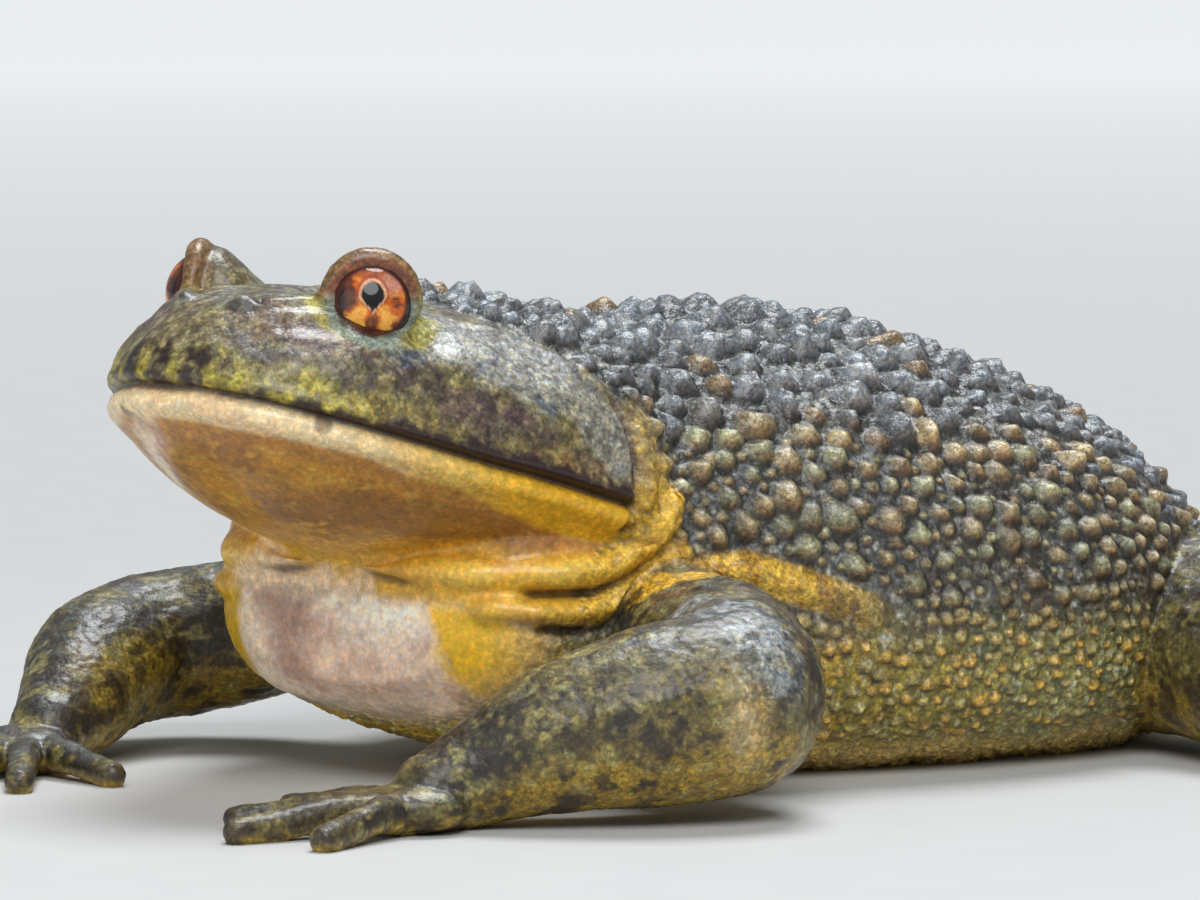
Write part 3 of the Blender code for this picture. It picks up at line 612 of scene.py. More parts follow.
def web(root, tips):
    """A thin skin between toes, a fan from the root to part of the way along each."""
    bm = bmesh.new()
    heel = Vector((*root, WEB_FLOOR))
    ends = [Vector((*tip, WEB_FLOOR)) for tip in tips]
    outline = [heel]
    for first, second in zip(ends, ends[1:]):
        outline += [first, ((first + second) / 2).lerp(heel, WEB_BAY)]
    outline.append(ends[-1])
    rise = Vector((0.0, 0.0, WEB_THICKNESS))
    lower = [bm.verts.new(point) for point in outline]
    upper = [bm.verts.new(point + rise) for point in outline]
    count = len(outline)
    for i in range(1, count - 1):
        bm.faces.new((lower[0], lower[i + 1], lower[i]))
        bm.faces.new((upper[0], upper[i], upper[i + 1]))
    for i in range(count):
        j = (i + 1) % count
        bm.faces.new((lower[i], lower[j], upper[j], upper[i]))
    return from_bmesh(bm, "web")


def hand(palm):
    made = [ball("palm", palm, PALM_RADII)]
    for angle, length in zip(FINGER_ANGLES, FINGER_LENGTHS):
        x, y = along(angle)
        root = (palm[0] + x * FINGER_ROOT, palm[1] + y * FINGER_ROOT)
        made += tube("finger", digit_line(root, angle, length, FINGER_RADIUS))
    return made


def foot():
    made = tube("sole", SOLE_LINE)
    root = SOLE_LINE[-1][:2]
    tips = []
    for angle, length in zip(TOE_ANGLES, TOE_LENGTHS):
        x, y = along(angle)
        made += tube("toe", digit_line(root, angle, length, TOE_RADIUS))
        tips.append((root[0] + x * length * WEB_REACH, root[1] + y * length * WEB_REACH))
    return made + [web(root, tips)]


def limbs():
    """The arm and leg of each side, those of the right made on the left and mirrored."""
    made = []
    for side, arm, palm in ((1, LEFT_ARM, LEFT_PALM), (-1, RIGHT_ARM, RIGHT_PALM)):
        pieces = tube("arm", arm) + hand(palm)
        pieces += tube("thigh", THIGH_LINE) + tube("shank", SHANK_LINE) + foot()
        if side < 0:
            for obj in pieces:
                obj.data.transform(Matrix.Diagonal((-1.0, 1.0, 1.0, 1.0)))
                obj.data.flip_normals()
        made += pieces
    return made


def lid(side, start, end, thickness):
    """A bar of skin round part of the eye's opening, thinner at its ends."""
    bulge, _, gaze = eye_parts(side)
    across = gaze.cross(Vector((0.0, 0.0, 1.0))).normalized()
    above = across.cross(gaze)
    middle = bulge + gaze * LID_FORWARD
    line = []
    for step in range(LID_STEPS + 1):
        share = step / LID_STEPS
        turn = math.radians(start + (end - start) * share)
        place = middle + (across * math.cos(turn) + above * math.sin(turn)) * LID_RING
        line.append((*place, thickness * (LID_END + (1 - LID_END) * math.sin(math.pi * share))))
    return tube("lid", line)


def eye_bulges():
    made = []
    for side in (1, -1):
        bulge, _, _ = eye_parts(side)
        made.append(ball("eye_bulge", bulge, (EYE_BULGE_RADIUS,) * 3))
        made += lid(side, *UPPER_LID)
        made += lid(side, *LOWER_LID)
    return made


def flesh():
    """The whole frog but its eyeballs, as one smooth skin in millimetres."""
    pieces = [loft("head", HEAD_SECTIONS, HEAD_POWERS), loft("torso", TORSO_SECTIONS, TORSO_POWERS)]
    pieces += eye_bulges() + limbs()
    bm = bmesh.new()
    for obj in pieces:
        bm.from_mesh(obj.data)
        bpy.data.objects.remove(obj, do_unlink=True)
    mesh = bpy.data.meshes.new("flesh")
    bm.to_mesh(mesh)
    bm.free()
    body = link(mesh, "flesh")
    remesh = body.modifiers.new("One skin", "REMESH")
    remesh.mode = "VOXEL"
    remesh.voxel_size = VOXEL
    soften = body.modifiers.new("Soft joins", "SMOOTH")
    soften.factor = SMOOTH_FACTOR
    soften.iterations = SMOOTH_STEPS
    return evaluated_copy(body, "skin")


def shape_head(points, normals):
    """The smooth skin with the lids' slopes and the head's swellings and hollows."""
    points = points.copy()
    start, end, share = LID_SLOPE
    for side in (1, -1):
        bulge, _, gaze = eye_parts(side)
        level = np.array((gaze.x, gaze.y)) / math.hypot(gaze.x, gaze.y)
        offset = points - np.array(bulge)
        behind = LID_FORWARD - offset[:, :2] @ level
        round_eye = smooth(14, 10, np.linalg.norm(offset, axis=1))
        sink = share * smooth(start, end, behind) * round_eye
        high = np.maximum(points[:, 2] - LID_FOOT, 0)
        points[:, 2] -= high * sink
    sided = points.copy()
    sided[:, 0] = np.abs(sided[:, 0])
    lift = np.zeros(len(points))
    for height, middle, widths in SWELLINGS:
        away = np.linalg.norm((sided - middle) / np.array(widths), axis=1)
        lift += height * np.clip(1 - away**2, 0, 1) ** 2
    return points + normals * lift[:, None]


# Places on the body: a limb's skin ends between these multiples of its radius
ARM_EDGE = (1.03, 1.14)
SHANK_EDGE = (1.1, 1.4)
THIGH_EDGE = (1.03, 1.2)


def mouth_height(y):
    table = np.array(MOUTH_LINE)
    return np.interp(y, table[:, 0], table[:, 1])


def limb_share(points, side, line, inner, outer):
    """1 on a limb of that side that grows along the line, 0 further off than outer radii."""
    mirrored = points * (side, 1, 1)
    away, place = line_distance(mirrored, line)
    radii = np.interp(place * (len(line) - 1), np.arange(len(line)), np.array(line)[:, 3])
    return smooth(outer, inner, away / radii)


class Places:
    """Which part of the frog each point of the skin is on, as shares from 0 to 1."""

    def __init__(self, points, normals):
        x, y, z = points.T
        self.points = points
        self.normals = normals
        self.sided = points.copy()
        self.sided[:, 0] = np.abs(x)
        hands = smooth(34, 30, y) * smooth(30, 26, z)
        front = smooth(104, 94, y)
        left = np.maximum(limb_share(points, 1, LEFT_ARM[1:], *ARM_EDGE), hands * (x > 0))
        right = np.maximum(limb_share(points, -1, RIGHT_ARM[1:], *ARM_EDGE), hands * (x < 0))
        self.left_arm = left * front
        self.right_arm = right * front
        legs = smooth(222, 226, y)
        for side in (1, -1):
            legs = np.maximum(legs, limb_share(points, side, SHANK_LINE, *SHANK_EDGE))
            legs = np.maximum(legs, limb_share(points, side, THIGH_LINE[1:], *THIGH_EDGE))
        self.leg = legs * smooth(170, 178, y)
        self.limb = np.maximum(np.maximum(self.left_arm, self.right_arm), self.leg)
        heights, edges = np.array(CHEEK_EDGE).T
        self.behind = y - np.interp(z, heights, edges)
        self.head = smooth(0.8, -0.8, self.behind) * smooth(31, 34.5, z + 0.12 * (y - 43.0))
        self.head = self.head * (1 - self.limb)
        self.above_mouth = z - mouth_height(y)
        self.upper = self.head * smooth(-0.3, 0.3, self.above_mouth)
        self.jaw = self.head * smooth(0.3, -0.3, self.above_mouth)
        self.trunk = (1 - self.limb) * (1 - self.head)
        self.upward = normals[:, 2]
        stations, crests = np.array(CREST_LINE).T
        self.crest = z - np.interp(y, stations, crests)
        self.neck = smooth(80, 75, y - 0.15 * (50.0 - z)) * smooth(33, 37, z)
        self.neck = self.neck * smooth(-0.5, 0.5, self.behind) * smooth(68, 62, z) * (1 - self.limb)


# Warts

def wart_families(places):
    """Where each family of warts grows, from 0 to 1, and its measures."""
    y, z = places.points[:, 1], places.points[:, 2]
    back = places.trunk * (1 - places.neck) * smooth(1, 3, places.behind) * smooth(215, 208, y)
    back = back * np.clip(smooth(40, 45, z) + smooth(94, 102, y), 0, 1)
    top = back * smooth(-6, 0, places.crest)
    flank = back * smooth(27, 33, z) * (1 - top)
    roll = nearness(places.sided, SHOULDER_ROLL, 6.0)
    back = back * smooth(0.1, 0, roll)
    flank = flank * smooth(0.1, 0, roll)
    low = back * smooth(5, 9, z) * smooth(32, 24, z)
    nape = places.trunk * smooth(86, 80, y) * smooth(38, 42, z) * smooth(1.5, 3, places.behind)
    legs = places.leg * smooth(0.1, 0.5, places.upward)
    return (
        (top, BACK_WARTS),
        (flank * smooth(-19, -15, places.crest), SIDE_WARTS),
        (flank, FLANK_WARTS),
        (low, LOW_WARTS),
        (flank, SMALL_WARTS),
        (nape * smooth(66, 60, z), NAPE_WARTS),
        (legs, LEG_WARTS),
    )


def scatter(points, spacings, taken, draw):
    """Numbers of points picked at random, each at least its spacing from others and clear of taken ones."""
    tree = KDTree(len(points))
    for i, point in enumerate(points):
        tree.insert(point, i)
    tree.balance()
    free = np.ones(len(points), bool)
    for centre, radius in taken:
        for _, i, _ in tree.find_range(centre, radius):
            free[i] = False
    picked = []
    for i in draw.permutation(len(points)):
        if free[i]:
            picked.append(i)
            for _, j, _ in tree.find_range(points[i], spacings[i]):
                free[j] = False
    return picked


def many_sided(right, rear, wide, flat, draw):
    """The height, from 0 to 1, of a many-sided wart at places to the right and rear of its middle."""
    count = draw.integers(*FACET_COUNTS)
    turns = np.arange(count) + draw.uniform(-FACET_STRAY, FACET_STRAY, count) + draw.uniform(0.0, 1.0)
    turns = turns * 2 * math.pi / count
    reaches = wide * draw.uniform(*FACET_REACHES, count)
    out = right[:, None] * np.cos(turns) + rear[:, None] * np.sin(turns)
    sides = (reaches - out) / (reaches * (1 - flat))
    height = -np.log(np.exp(-FACET_SHARPNESS * sides).sum(axis=1)) / FACET_SHARPNESS
    middle = 1 / (1 - flat) - math.log(count) / FACET_SHARPNESS
    height = np.clip(height / min(1.0, middle), 0, 1)
    return height + (1 - flat) * FACET_ROUNDING * height * (1 - height)


class Warts:
    """What the warts do at each point of the skin."""

    def __init__(self, places):
        count = len(places.points)
        self.lift = np.zeros(count)
        self.share = np.zeros(count)
        self.chance = np.zeros(count)
        self.under = np.zeros(count)
        self.skirt_shade = np.zeros(count)
        self.level = np.zeros(count)
        self.draw = np.random.default_rng(RNG_SEED)
        self.rough = noise(places.points, 1.7, 21, 2)
        self.places = places
        self.tree = KDTree(count)
        for i, point in enumerate(places.points):
            self.tree.insert(point, i)
        self.tree.balance()
        taken = []
        for where, measures in wart_families(places):
            self.grow(where, measures, taken)

    def grow(self, where, measures, taken):
        """One family of warts, smaller towards the rear and the nape."""
        spacing, radius, height, flat, lean = measures
        candidates = np.nonzero(where > 0.5)[0]
        candidates = self.draw.permutation(candidates)[:CANDIDATES]
        y = self.places.points[candidates, 1]
        scales = 1 - 0.32 * smooth(120, 195, y)
        scales = scales * (0.66 + 0.34 * smooth(2, 20, self.places.behind[candidates]))
        clear = [(centre, 0.75 * wide + 0.42 * spacing) for centre, wide in taken]
        points = self.places.points[candidates]
        for picked in scatter(points, spacing * scales, clear, self.draw):
            size = scales[picked] * self.draw.uniform(*WART_SIZES)
            self.raise_one(candidates[picked], radius * size, height * size, flat, lean)
            taken.append((points[picked], radius * size))

    def raise_one(self, index, wide, tall, flat, lean):
        draw = self.draw
        centre = self.places.points[index]
        normal = self.places.normals[index]
        rear = np.array((0.0, 1.0, 0.0)) - normal * normal[1]
        rear = rear / max(np.linalg.norm(rear), 0.1)
        right = np.cross(rear, normal)
        around = np.array([i for _, i, _ in self.tree.find_range(centre, wide * 1.5)])
        offset = self.places.points[around] - centre
        across, back = offset @ right, offset @ rear * draw.uniform(*WART_LENGTHS)
        away = np.hypot(across, back) / wide
        form = many_sided(across, back, wide, flat, draw)
        form = form * (1 + lean * back / wide) * (1 + WART_ROUGHNESS * self.rough[around])
        tall = tall * draw.uniform(*WART_HEIGHTS)
        better = form * tall > self.lift[around]
        hit = around[better]
        self.lift[hit] = (form * tall)[better]
        self.share[hit] = form[better]
        self.chance[hit] = draw.uniform()
        self.under[hit] = -offset[better, 2] / wide
        self.level[hit] = self.places.crest[index]
        # Where the ground round the wart's foot gets painted shade
        self.skirt_shade[around] = np.maximum(self.skirt_shade[around], smooth(1.45, 0.95, away))


# Markings: colours are as seen, 0 to 255, and shares run from 0 to 1
CREASE_DEPTH = -0.7
DARKEST = 0.003
LIGHTEST = 0.95


def mix(under, over, share):
    return under + (over - under) * share[:, None]


def layered(colour, *layers):
    """The colour with each (tone, share) of the layers laid over it in turn."""
    for tone, share in layers:
        colour = mix(colour, srgb(*tone), share)
    return colour


def paint(colour, points, marks, share=1, full=0.6):
    """The colour with a table's marks on it, each at its strongest where it is as near as full."""
    for tone, strength, reach, line in marks:
        near = smooth(0, full, nearness(points, line, reach))
        colour = mix(colour, srgb(*tone), strength * near * share)
    return colour


class Painter:
    """Colours of each point of the skin, part by part."""

    def __init__(self, places, warts, small):
        self.places = places
        self.warts = warts
        self.grain, self.chance = small
        points = places.points
        self.y, self.z = points[:, 1], points[:, 2]
        self.coarse = noise(points, 9.0, 3, 3)
        self.middle = noise(points, 3.4, 4, 2)
        self.fine = noise(points, 1.3, 5, 2)
        self.streaks = noise(points * (1.0, 1.0, 0.4), 1.8, 6, 2)
        self.blots = noise(points, 5.0, 9, 2)
        self.spots = noise(points, 2.6, 14, 2)
        warp = np.stack([self.middle, self.fine, noise(points, 3.4, 8, 2)], axis=1)
        self.wavy = points + 1.1 * warp
        broad = np.stack([noise(points, 11.0, 50 + k, 2) for k in range(3)], axis=1)
        self.very_wavy = self.wavy + 2.6 * broad
        self.wavy_sided = self.wavy.copy()
        self.wavy_sided[:, 0] = np.abs(self.wavy_sided[:, 0])

    def ground(self):
        """The grainy skin between the warts, grey above and yellow below."""
        y, z, grain, chance = self.y, self.z, self.grain, self.chance
        coarse, middle, fine = self.coarse, self.middle, self.fine
        grey = layered(
            srgb(88, 90, 86),
            ((36, 38, 38), 0.8 * smooth(-0.2, 0.5, middle + 0.4 * coarse)),
            ((150, 148, 136), 0.7 * smooth(0, 0.7, chance) * grain),
            ((176, 178, 172), 0.7 * smooth(0.35, 0.75, fine)),
            ((100, 80, 54), 0.5 * smooth(-0.1, 0.6, coarse) * smooth(66, 46, z)),
        )
        beside_arm = smooth(128, 108, y) * smooth(32, 22, z)
        olive = layered(
            srgb(150, 136, 48),
            ((78, 80, 48), 0.8 * smooth(0, 0.6, middle)),
            ((208, 184, 78), grain * smooth(-0.5, 0.4, chance)),
            ((128, 132, 92), 0.6 * smooth(115, 180, y)),
            ((214, 170, 30), 0.75 * beside_arm * smooth(-0.5, 0.3, middle)),
            ((214, 214, 190), 0.6 * smooth(0.4, 0.8, fine)),
        )
        colour = mix(grey, olive, smooth(33, 18, z + 4 * coarse))
        return mix(colour, srgb(206, 178, 104), smooth(8, 3, z + 2 * coarse))

    def on_warts(self):
        """Yellow to slate grey from low to high, a tone for each wart, darker at its foot and below with
        painted shade, and a painted highlight above.
        """
        warts = self.warts
        chance = warts.chance[:, None]
        shade = chance * 7 % 1
        low = np.where(chance < 0.5, srgb(212, 172, 76), srgb(184, 168, 98)) * (0.75 + 0.45 * shade)
        flank = np.where(chance < 0.5, srgb(140, 138, 104), srgb(146, 130, 94)) * (0.6 + 0.7 * shade)
        top = np.where(chance < 0.12, srgb(128, 108, 80), srgb(112, 117, 121) * (0.55 + 0.8 * chance))
        colour = mix(low, flank, smooth(20, 34, self.z))
        upper = smooth(-1, 1, warts.level + 5 - 11 * warts.chance)
        # Painted shade: each wart darker towards its foot
        colour = mix(colour, top, upper) * (0.20 + 1.08 * warts.share)[:, None]
        orange = smooth(0.05, 0.5, warts.under) * smooth(0.25, 0.6, warts.share) * (1 - 0.7 * upper)
        # Darker on the underside, in part the wart's own colour and in part painted shade; paler on the
        # upper side, a painted highlight
        dark = smooth(0.15, 0.75, warts.under) * smooth(1, 0.55, warts.share)
        bright = smooth(0.1, 0.7, -warts.under) * smooth(0.3, 0.8, warts.share)
        return layered(
            colour,
            ((150, 92, 34), 0.5 * orange),
            ((44, 32, 24), 0.9 * dark),
            ((206, 212, 212), 0.45 * bright * smooth(-0.6, 0.5, self.middle)),
        )

    def neck(self):
        """The granular strip behind the cheek."""
        return layered(
            srgb(168, 146, 92),
            ((204, 164, 40), smooth(58, 48, self.z + 2 * self.coarse)),
            ((238, 196, 70), 0.6 * self.grain * smooth(-0.2, 0.6, self.chance)),
            ((92, 66, 28), 0.65 * (1 - self.grain) * smooth(-0.6, 0.3, self.middle)),
        )

    def trunk(self):
        """The back and flanks with their warts, the neck, the chest and the yellow rolls of skin."""
        # Painted shade: the ground is darkened round the foot of each wart, less so low on the flank
        shade = 0.72 - 0.42 * smooth(32, 22, self.z)
        ground = self.ground() * (1 - shade * self.warts.skirt_shade)[:, None]
        colour = mix(ground, self.on_warts(), smooth(0.05, 0.35, self.warts.share))
        colour = mix(colour, self.neck(), self.places.neck)
        chest = self.chest()
        pale = mix(srgb(244, 222, 196), srgb(208, 172, 150), smooth(0, 0.7, self.coarse))
        colour = mix(colour, pale, chest)
        colour = paint(colour, self.very_wavy, CHEST_CLOUDS_AND_HIGHLIGHT, chest, 1.3)
        colour = paint(colour, self.very_wavy, CHEST_MARKS, chest, 0.45)
        colour = mix(colour, srgb(150, 132, 112), 0.6 * chest * smooth(16, 10, self.z + 2 * self.middle))
        gold = mix(srgb(230, 186, 62), srgb(186, 140, 44), smooth(0.1, 0.7, self.middle))
        front = 0.9 * smooth(128, 98, self.y + 4 * self.middle)
        for line, reach in ((UPPER_ROLL, 3.6), (LOWER_ROLL, 3.4), (SHOULDER_ROLL, 4.6)):
            roll = smooth(0.05, 0.5, nearness(self.places.sided, line, reach, 0.1))
            colour = mix(colour, gold, roll * front)
        return colour

    def head(self):
        """The olive brown skin above the line of the mouth."""
        y, coarse, middle, fine = self.y, self.coarse, self.middle, self.fine
        height = self.places.above_mouth
        # Painted sheen: upward-facing skin of the head is mixed towards pale grey
        wet_sheen = smooth(0.35, 0.95, self.places.upward) * smooth(-0.5, 0.4, coarse + 0.6 * fine)
        colour = layered(
            srgb(108, 96, 62),
            ((82, 72, 60), smooth(-0.3, 0.4, coarse)),
            ((126, 114, 60), 0.55 * smooth(0, 0.6, middle + 0.3 * coarse)),
            ((90, 68, 70), 0.4 * smooth(0.1, 0.6, -middle)),
            ((150, 154, 150), 0.4 * wet_sheen),
        )
        near_lip = smooth(8, 3, height + 2 * coarse) * smooth(-0.5, 0.3, middle)
        lip = layered(
            srgb(178, 164, 34),
            ((138, 116, 50), smooth(16, 40, y)),
            ((118, 102, 56), 0.85 * smooth(14, 30, y)),
        )
        colour = mix(colour, lip, 0.7 * near_lip)
        colour = paint(colour, self.wavy_sided, HEAD_MARKS_AND_SHEEN)
        thick = np.interp(y, (8, 20, 44, 70), (1, 2, 3.2, 2.6))
        band = smooth(thick + 1.1, thick - 0.7, height + 1.3 * middle + 0.9 * fine)
        return layered(
            colour,
            ((166, 156, 104), 0.28 * smooth(0.1, 0.7, fine + 0.3 * self.chance)),
            ((48, 38, 30), 0.42 * smooth(0.05, 0.6, -fine + 0.3 * middle)),
            ((44, 22, 19), band * smooth(4, 12, y)),
        )

    def jaw(self):
        """The lips and the throat below the line of the mouth."""
        y, coarse, streaks = self.y, self.coarse, self.streaks
        golden = smooth(44, 38, self.z + 1.5 * coarse) * smooth(70, 60, y)
        colour = layered(
            srgb(190, 134, 38),
            ((146, 96, 30), 0.8 * smooth(-0.2, 0.6, coarse + 0.4 * streaks)),
            ((222, 176, 58), 0.5 * smooth(0.2, 0.8, streaks + 0.3 * self.fine)),
            ((228, 180, 52), 0.75 * golden),
        )
        colour = paint(colour, self.wavy, THROAT_MARKS)
        colour = paint(colour, self.very_wavy, THROAT_CLOUDS, full=0.9)
        depth = np.interp(y, (5, 20, 45, 66), (5.2, 5, 7.2, 8.5))
        edge = self.places.above_mouth + depth + 0.9 * coarse
        # Painted shade: a pinkish-brown line under the edge of the pale lip band
        colour = mix(colour, srgb(168, 116, 66), 0.5 * np.exp(-(((edge + 0.6) / 1.6) ** 2)))
        lip = layered(
            srgb(236, 212, 164),
            ((224, 184, 84), smooth(14, 36, y + 3 * coarse)),
            ((226, 172, 34), smooth(30, 52, y + 3 * coarse)),
            ((210, 158, 124), 0.45 * smooth(0, 0.6, coarse) * smooth(40, 20, y)),
            ((88, 64, 44), 0.7 * smooth(0.42, 0.62, self.blots) * smooth(46, 30, y)),
        )
        colour = mix(colour, lip, smooth(0, 1.4, edge))
        sided = self.places.sided
        roll = smooth(0.05, 0.5, nearness(sided, UPPER_ROLL, 3.6)) * smooth(18, 30, sided[:, 0])
        return mix(colour, srgb(236, 196, 78), 0.85 * roll)

    def limbs(self):
        """The olive arms and legs, yellow below, with their marks, blots and spots, and a painted sheen on
        their upper sides.
        """
        places, middle, fine = self.places, self.middle, self.fine
        colour = layered(
            srgb(96, 86, 44),
            ((44, 40, 28), smooth(-0.2, 0.3, self.coarse + 0.4 * middle)),
            ((136, 122, 58), 0.6 * self.grain * smooth(0, 0.6, self.chance)),
            ((28, 26, 20), 0.5 * smooth(0.1, 0.6, -fine)),
            # Painted sheen: upward-facing skin of the limbs is mixed towards pale grey
            ((132, 138, 134), 0.25 * smooth(0.45, 0.95, places.upward) * smooth(-0.5, 0.5, middle)),
            ((168, 138, 38), 0.8 * smooth(0, -0.6, places.upward)),
        )
        colour = paint(colour, self.wavy, LEFT_ARM_MARKS_AND_SHEEN, places.left_arm)
        colour = paint(colour, self.wavy, RIGHT_ARM_MARKS_AND_SHADE, places.right_arm)
        return layered(
            colour,
            ((46, 34, 24), 0.7 * smooth(0.25, 0.4, self.blots + 0.25 * fine)),
            ((40, 28, 20), 0.75 * smooth(0.38, 0.5, self.spots + 0.15 * fine)),
            ((150, 142, 84), 0.5 * smooth(0.42, 0.6, -self.spots + 0.2 * fine)),
        )

    def lids(self, colour):
        """The rims and collars of skin round the eyes."""
        for side in (1, -1):
            _, centre, gaze = eye_parts(side)
            offset = self.places.points - np.array(centre)
            ahead = offset @ np.array(gaze)
            above = np.array(Vector((0, 0, 1)) - gaze * gaze.z)
            above = above / np.linalg.norm(above)
            out = offset - ahead[:, None] * np.array(gaze)
            wide = np.maximum(np.linalg.norm(out, axis=1), 0.01)
            up = out @ above / wide
            ring = wide + 0.25 * self.middle
            lower = smooth(0.3, -0.1, up)
            near = smooth(13, 11, np.linalg.norm(offset, axis=1))
            near = near * smooth(-4.5, -1.5, ahead - 3.4 * (1 - lower))
            collar = layered(
                srgb(124, 88, 46),
                ((156, 146, 36), lower),
                ((122, 140, 142), 0.7 * smooth(-0.7, -0.95, up)),
            )
            rim = mix(srgb(112, 58, 30), srgb(112, 126, 112), lower)
            edge = np.maximum(smooth(3.4, 4.4, ahead), 1 - lower)
            colour = mix(colour, collar, 0.8 * near)
            colour = mix(colour, rim, 0.85 * near * smooth(8, 7.4, ring) * smooth(1, 2.2, ahead))
            colour = mix(colour, srgb(58, 24, 18), near * smooth(6.25, 5.8, ring) * edge)
        return colour

    def creases(self, colour):
        """Painted shade: dark lines along the bottoms of the deeper folds."""
        for height, half_width, line in FOLDS:
            if height < CREASE_DEPTH:
                near = nearness(self.places.sided, line, half_width * 0.9, FOLD_TAPER)
                share = 0.75 * smooth(0.1, 0.8, near) * (1 - self.places.limb)
                # Painted shade in the crease
                colour = mix(colour, srgb(74, 46, 20), share)
        return colour

    def skin(self):
        """The whole skin, with painted shade in the line of the mouth and in the nostrils."""
        places = self.places
        colour = mix(self.trunk(), self.head(), places.upper)
        colour = mix(colour, self.jaw(), places.jaw)
        colour = mix(colour, self.limbs(), places.limb)
        colour = self.lids(self.creases(colour))
        # Painted shade: dark in the groove between the lips and in the nostril pits
        mouth = np.exp(-((places.above_mouth / 0.7) ** 2)) * places.head
        mouth = mouth * smooth(MOUTH_CORNER, MOUTH_CORNER - 3, self.y)
        pit = np.linalg.norm((places.sided - NOSTRIL) / np.array(NOSTRIL_RADII), axis=1)
        colour = layered(colour, ((34, 16, 12), 0.9 * mouth), ((14, 10, 9), smooth(1.25, 0.7, pit)))
        speckle = 1 + 0.16 * self.fine + 0.10 * self.middle + 0.16 * self.chance * self.grain
        return np.clip(colour * speckle[:, None], DARKEST, LIGHTEST)

    def wetness(self):
        """How glossy the skin is, from 0 to 1."""
        places = self.places
        wet_sheen = 0.35 + 0.4 * smooth(0.2, 0.9, places.upward)
        wet_sheen = wet_sheen + 0.35 * smooth(0.3, 0.9, self.warts.share) - 0.15 * places.jaw - 0.45 * places.limb
        return np.clip(wet_sheen + 0.25 * self.coarse + 0.2 * self.middle, 0, 1)

    def graininess(self):
        """How deep the fine grain of the skin is, from 0 to 1."""
        places = self.places
        smoother = 0.2 * places.upper + 0.5 * places.jaw + 0.5 * self.chest() + 0.15 * places.limb
        return np.clip(0.42 - smoother, 0.08, 1)

    def flecks(self):
        """How much the colour changes from grain to grain, from 0 to 1."""
        smoother = 0.6 * self.places.jaw + 0.7 * self.chest() + 0.4 * self.places.neck
        return np.clip(1 - smoother, 0.2, 1)

    def chest(self):
        """1 on the pale skin of the chest, 0 elsewhere."""
        return smooth(58, 45, self.y + 3 * self.coarse) * smooth(38, 34, self.z) * self.places.trunk


def set_attribute(mesh, name, values):
    """A number or a colour at each vertex, which the materials read by name."""
    if values.ndim == 1:
        made = mesh.attributes.new(name, "FLOAT", "POINT")
        made.data.foreach_set("value", values.astype(np.float32))
    else:
        made = mesh.attributes.new(name, "FLOAT_COLOR", "POINT")
        full = np.column_stack([values, np.ones(len(values))])
        made.data.foreach_set("color", full.astype(np.float32).ravel())


# The skin: lips as (height, above the line of the mouth, half width), and grains as (size, random seed)
LIPS = ((-1.8, 0.0, 0.8), (1.1, -2.7, 1.9), (0.6, 2.0, 1.4))
SMALL_GRAINS = (1.5, 41)
LARGE_GRAINS = (2.2, 45)
UPPER_GRAIN = 0.09
JAW_GRAIN = 0.05
LIMB_GRAIN = 0.16
NECK_GRAIN = 0.40


def relief(places, warts, small, large):
    """How far the skin stands out at each point for its folds, lips, warts and grains."""
    y, z = places.points[:, 1], places.points[:, 2]
    lift = np.zeros(len(y))
    for height, half_width, line in FOLDS:
        lift += height * nearness(places.sided, line, half_width, FOLD_TAPER)
    in_front = smooth(MOUTH_CORNER + 1, MOUTH_CORNER - 2, y) * (1 - places.limb) * (places.head > 0.02)
    for height, level, half_width in LIPS:
        lift += height * np.exp(-(((places.above_mouth - level) / half_width) ** 2)) * in_front
    lift *= 1 - places.limb
    lift += warts.lift
    plain = smooth(52, 60, y) * (1 - places.neck)
    lift += (0.3 * (1 - places.head) * plain + 0.18) * noise(places.points, 6.0, 12, 2)
    lift += small[0] * (UPPER_GRAIN * places.upper + JAW_GRAIN * places.jaw + LIMB_GRAIN * places.limb)
    rolls = [nearness(places.sided, line, 4.5) for line in (UPPER_ROLL, LOWER_ROLL)]
    lift += small[0] * NECK_GRAIN * places.neck * (1 - smooth(0.1, 0.6, np.maximum(*rolls)))
    bare = 1 - smooth(0.1, 0.5, warts.share)
    trunk = places.trunk * (1 - places.neck) * smooth(46, 60, y)
    lift += large[0] * bare * trunk * (0.45 + 0.3 * smooth(32, 20, z))
    return lift


def skin():
    body = flesh()
    points = shape_head(read_points(body.data), read_normals(body.data))
    write_points(body.data, points)
    normals = read_normals(body.data)
    places = Places(points, normals)
    warts = Warts(places)
    small = grains(points, *SMALL_GRAINS)
    large = grains(points, *LARGE_GRAINS)
    painter = Painter(places, warts, small)
    points = points + normals * relief(places, warts, small, large)[:, None]
    points[points[:, 2] < FLOOR_SNAP, 2] = 0.0
    write_points(body.data, placed(points))
    set_attribute(body.data, "Skin", painter.skin())
    set_attribute(body.data, "Wet", painter.wetness())
    set_attribute(body.data, "Grain", painter.graininess())
    set_attribute(body.data, "Fleck", painter.flecks())
    body.data.shade_smooth()
    body.data.materials.append(skin_material())
    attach(body, "root")
    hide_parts(*[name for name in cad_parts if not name.startswith("eye")])


# Materials: the scales of the skin's grain, the depths of its bumps in metres, and two tints
GRAIN_SCALE = 1500.0
FINE_SCALE = 3200.0
MOTTLE_SCALE = 950.0
GRAIN_DEPTH = 0.0004
FILM_DEPTH = 0.0003
WARM_TINT = (1.12, 1.0, 0.82, 1.0)
COOL_TINT = (0.92, 1.0, 1.14, 1.0)


